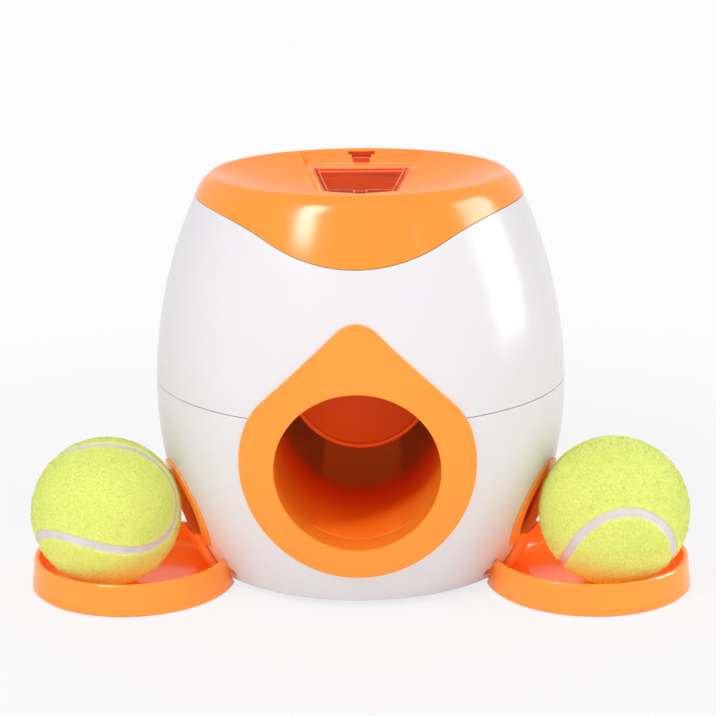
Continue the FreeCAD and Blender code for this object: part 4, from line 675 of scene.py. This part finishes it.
# the fibres: a root in the felt, a lower part and a tip that leans further
FIBRE_COUNT = 20000
FIBRE_LENGTH = 1.3 * MM
FIBRE_SPREAD = (0.5, 1.2)        # share of the length
FIBRE_WIDTH = 0.15 * MM
FIBRE_TAPER = 0.8                # width at the middle against the root
FIBRE_ROOT = 0.35 * MM           # how deep the root sits
FIBRE_RISE = (0.25, 0.6)         # outward part of its direction
LOWER_SHARE = 0.7                # of the length
LOWER_LEAN = 0.45                # sideways part of its direction
TIP_SHARE = 0.5
TIP_LEAN = 0.8
TIP_RISE = 0.5                   # of the lower part's rise
NAP_SEAM_GAP = 0.1 * MM          # no fibres nearer to the seam's edge than this
NAP_LOWEST = -0.93               # no fibres below this, where the ball rests
# per ball: its centre, the seam curve's lobe size and turn (ball axes in rows), the felt's and nap's seeds
BALLS = {
    "left": {
        "centre": (-BALL_X, BALL_Y, BALL_Z),
        "lobe": 0.222,
        "turn": ((-0.35034, 0.16041, -0.92278),
                 (0.11465, -0.97047, -0.21223),
                 (-0.92958, -0.18015, 0.32161)),
        "felt_seed": 3,
        "nap_seed": 11,
    },
    "right": {
        "centre": (BALL_X, BALL_Y, BALL_Z),
        "lobe": 0.165,
        "turn": ((-0.66025, 0.74627, 0.08458),
                 (-0.67541, -0.54073, -0.50143),
                 (-0.32846, -0.3882, 0.86105)),
        "felt_seed": 5,
        "nap_seed": 13,
    },
}


def unit(vectors):
    """The vectors, each one long."""
    return vectors / np.linalg.norm(vectors, axis=1)[:, None]


def seam_gap(directions, ball):
    """Arc length on the ball from each direction to the nearest point of its one closed seam."""
    t = np.linspace(0, 2 * math.pi, SEAM_POINTS, endpoint=False)
    narrow = ball["lobe"]
    wide = 1 - narrow
    line = np.stack([wide * np.cos(t) + narrow * np.cos(3 * t),
                     wide * np.sin(t) - narrow * np.sin(3 * t),
                     2 * math.sqrt(wide * narrow) * np.sin(2 * t)], axis=1)
    seam = unit(line) @ np.array(ball["turn"]).T
    lots = np.array_split(directions, SEAM_BATCHES)
    nearest = np.concatenate([(lot @ seam.T).max(axis=1) for lot in lots])
    return np.arccos(np.clip(nearest, -1, 1)) * BALL_RADIUS


def smooth_step(value, low, high):
    t = np.clip((value - low) / (high - low), 0, 1)
    return t * t * (3 - 2 * t)


def felt_material():
    """Yellow-green wool felt: mottled nap, soft sheen, deep fine bump."""
    material, tree, shader = new_material("ball_felt")
    colour_drift(tree, shader, FELT_YELLOW, scale=1200.0, amount=0.07)
    set_inputs(shader, {"Roughness": 0.95, "Sheen Weight": 0.6, "Sheen Roughness": 0.5,
                        "Sheen Tint": FELT_SHEEN, "Specular IOR Level": 0.15})
    fine_bump(tree, shader, scale=900.0, height=0.0005)
    return material


def seam_material():
    """Pale grey vulcanised rubber of the seam, with faint pinholes."""
    material, tree, shader = new_material("ball_seam")
    colour_drift(tree, shader, SEAM_GREY, scale=150.0, amount=0.05)
    roughness_drift(tree, shader, 0.5, 0.7, scale=300.0)
    fine_bump(tree, shader, scale=700.0, height=0.0001)
    return material


def felt_ball(side, felt, seam_rubber):
    """The felt cover of one ball, its seam sunk between two felt panels."""
    ball = BALLS[side]
    sphere = bmesh.new()
    bmesh.ops.create_icosphere(sphere, subdivisions=BALL_SUBDIVISIONS, radius=1.0)
    mesh = bpy.data.meshes.new(f"{side}_ball_felt_cover")
    sphere.to_mesh(mesh)
    sphere.free()
    directions = unit(np.array([vertex.co for vertex in mesh.vertices]))
    gap = seam_gap(directions, ball)
    random = np.random.default_rng(ball["felt_seed"])
    risen = smooth_step(gap, SEAM_HALF_WIDTH + FELT_EDGE[0], SEAM_HALF_WIDTH + FELT_EDGE[1])
    settled = smooth_step(gap, SEAM_HALF_WIDTH + FELT_SWELL_SPAN[0], SEAM_HALF_WIDTH + FELT_SWELL_SPAN[1])
    on_felt = smooth_step(gap, SEAM_HALF_WIDTH, SEAM_HALF_WIDTH + FELT_SWELL_SPAN[0])
    radius = BALL_RADIUS - SEAM_DEPTH * (1 - risen)
    radius -= FELT_SWELL * settled
    radius += on_felt * random.normal(0, FELT_UNEVEN, len(radius))
    radius = np.minimum(radius, BALL_RADIUS)
    points = directions * radius[:, None] + np.array(ball["centre"])
    mesh.vertices.foreach_set("co", points.astype(np.float32).ravel())
    corners = np.empty(len(mesh.polygons) * 3, dtype=np.int32)
    mesh.polygons.foreach_get("vertices", corners)
    on_seam = gap[corners.reshape(-1, 3)].mean(axis=1) < SEAM_HALF_WIDTH
    mesh.materials.append(felt)
    mesh.materials.append(seam_rubber)
    mesh.polygons.foreach_set("material_index", on_seam.astype(np.int32))
    mesh.polygons.foreach_set("use_smooth", np.ones(len(mesh.polygons), dtype=bool))
    mesh.update()
    cover = new_object(f"{side}_ball_felt_cover", mesh)
    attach(cover, f"{side}_ball")
    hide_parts(f"{side}_ball_felt")


def ball_nap(side, felt):
    """Short curled fibres that stand off the felt: a narrow strip with a pointed tip each."""
    ball = BALLS[side]
    random = np.random.default_rng(ball["nap_seed"])
    out = unit(random.normal(size=(FIBRE_COUNT, 3)))
    keep = seam_gap(out, ball) > SEAM_HALF_WIDTH + NAP_SEAM_GAP
    keep &= out[:, 2] > NAP_LOWEST
    out = out[keep]
    lean = unit(np.cross(out, random.normal(size=out.shape)))
    across = np.cross(out, lean)
    reach = FIBRE_LENGTH * random.uniform(*FIBRE_SPREAD, len(out))[:, None]
    root = out * (BALL_RADIUS - FIBRE_ROOT)
    rise = random.uniform(*FIBRE_RISE, len(out))[:, None]
    middle = root + (out * rise + lean * LOWER_LEAN) * reach * LOWER_SHARE
    tip = middle + (out * rise * TIP_RISE + lean * TIP_LEAN) * reach * TIP_SHARE
    side_step = across * FIBRE_WIDTH
    strip = [root - side_step, root + side_step,
             middle - side_step * FIBRE_TAPER, middle + side_step * FIBRE_TAPER, tip]
    points = np.stack(strip, axis=1) + np.array(ball["centre"])
    starts = range(0, len(out) * len(strip), len(strip))
    lower_parts = [(i, i + 1, i + 3, i + 2) for i in starts]
    tips = [(i + 2, i + 3, i + 4) for i in starts]
    mesh = bpy.data.meshes.new(f"{side}_ball_nap")
    mesh.from_pydata(points.reshape(-1, 3).tolist(), [], lower_parts + tips)
    mesh.materials.append(felt)
    nap = new_object(f"{side}_ball_nap", mesh)
    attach(nap, f"{side}_ball")


# ------------------------------------------------------------------- build
bpy.context.scene.view_settings.view_transform = "Standard"
add_camera()
add_floor()
add_world()
add_lights()
dress_nodes()
winding_spring()
FELT = felt_material()
SEAM = seam_material()
for ball_side in BALLS:
    felt_ball(ball_side, FELT, SEAM)
    ball_nap(ball_side, FELT)
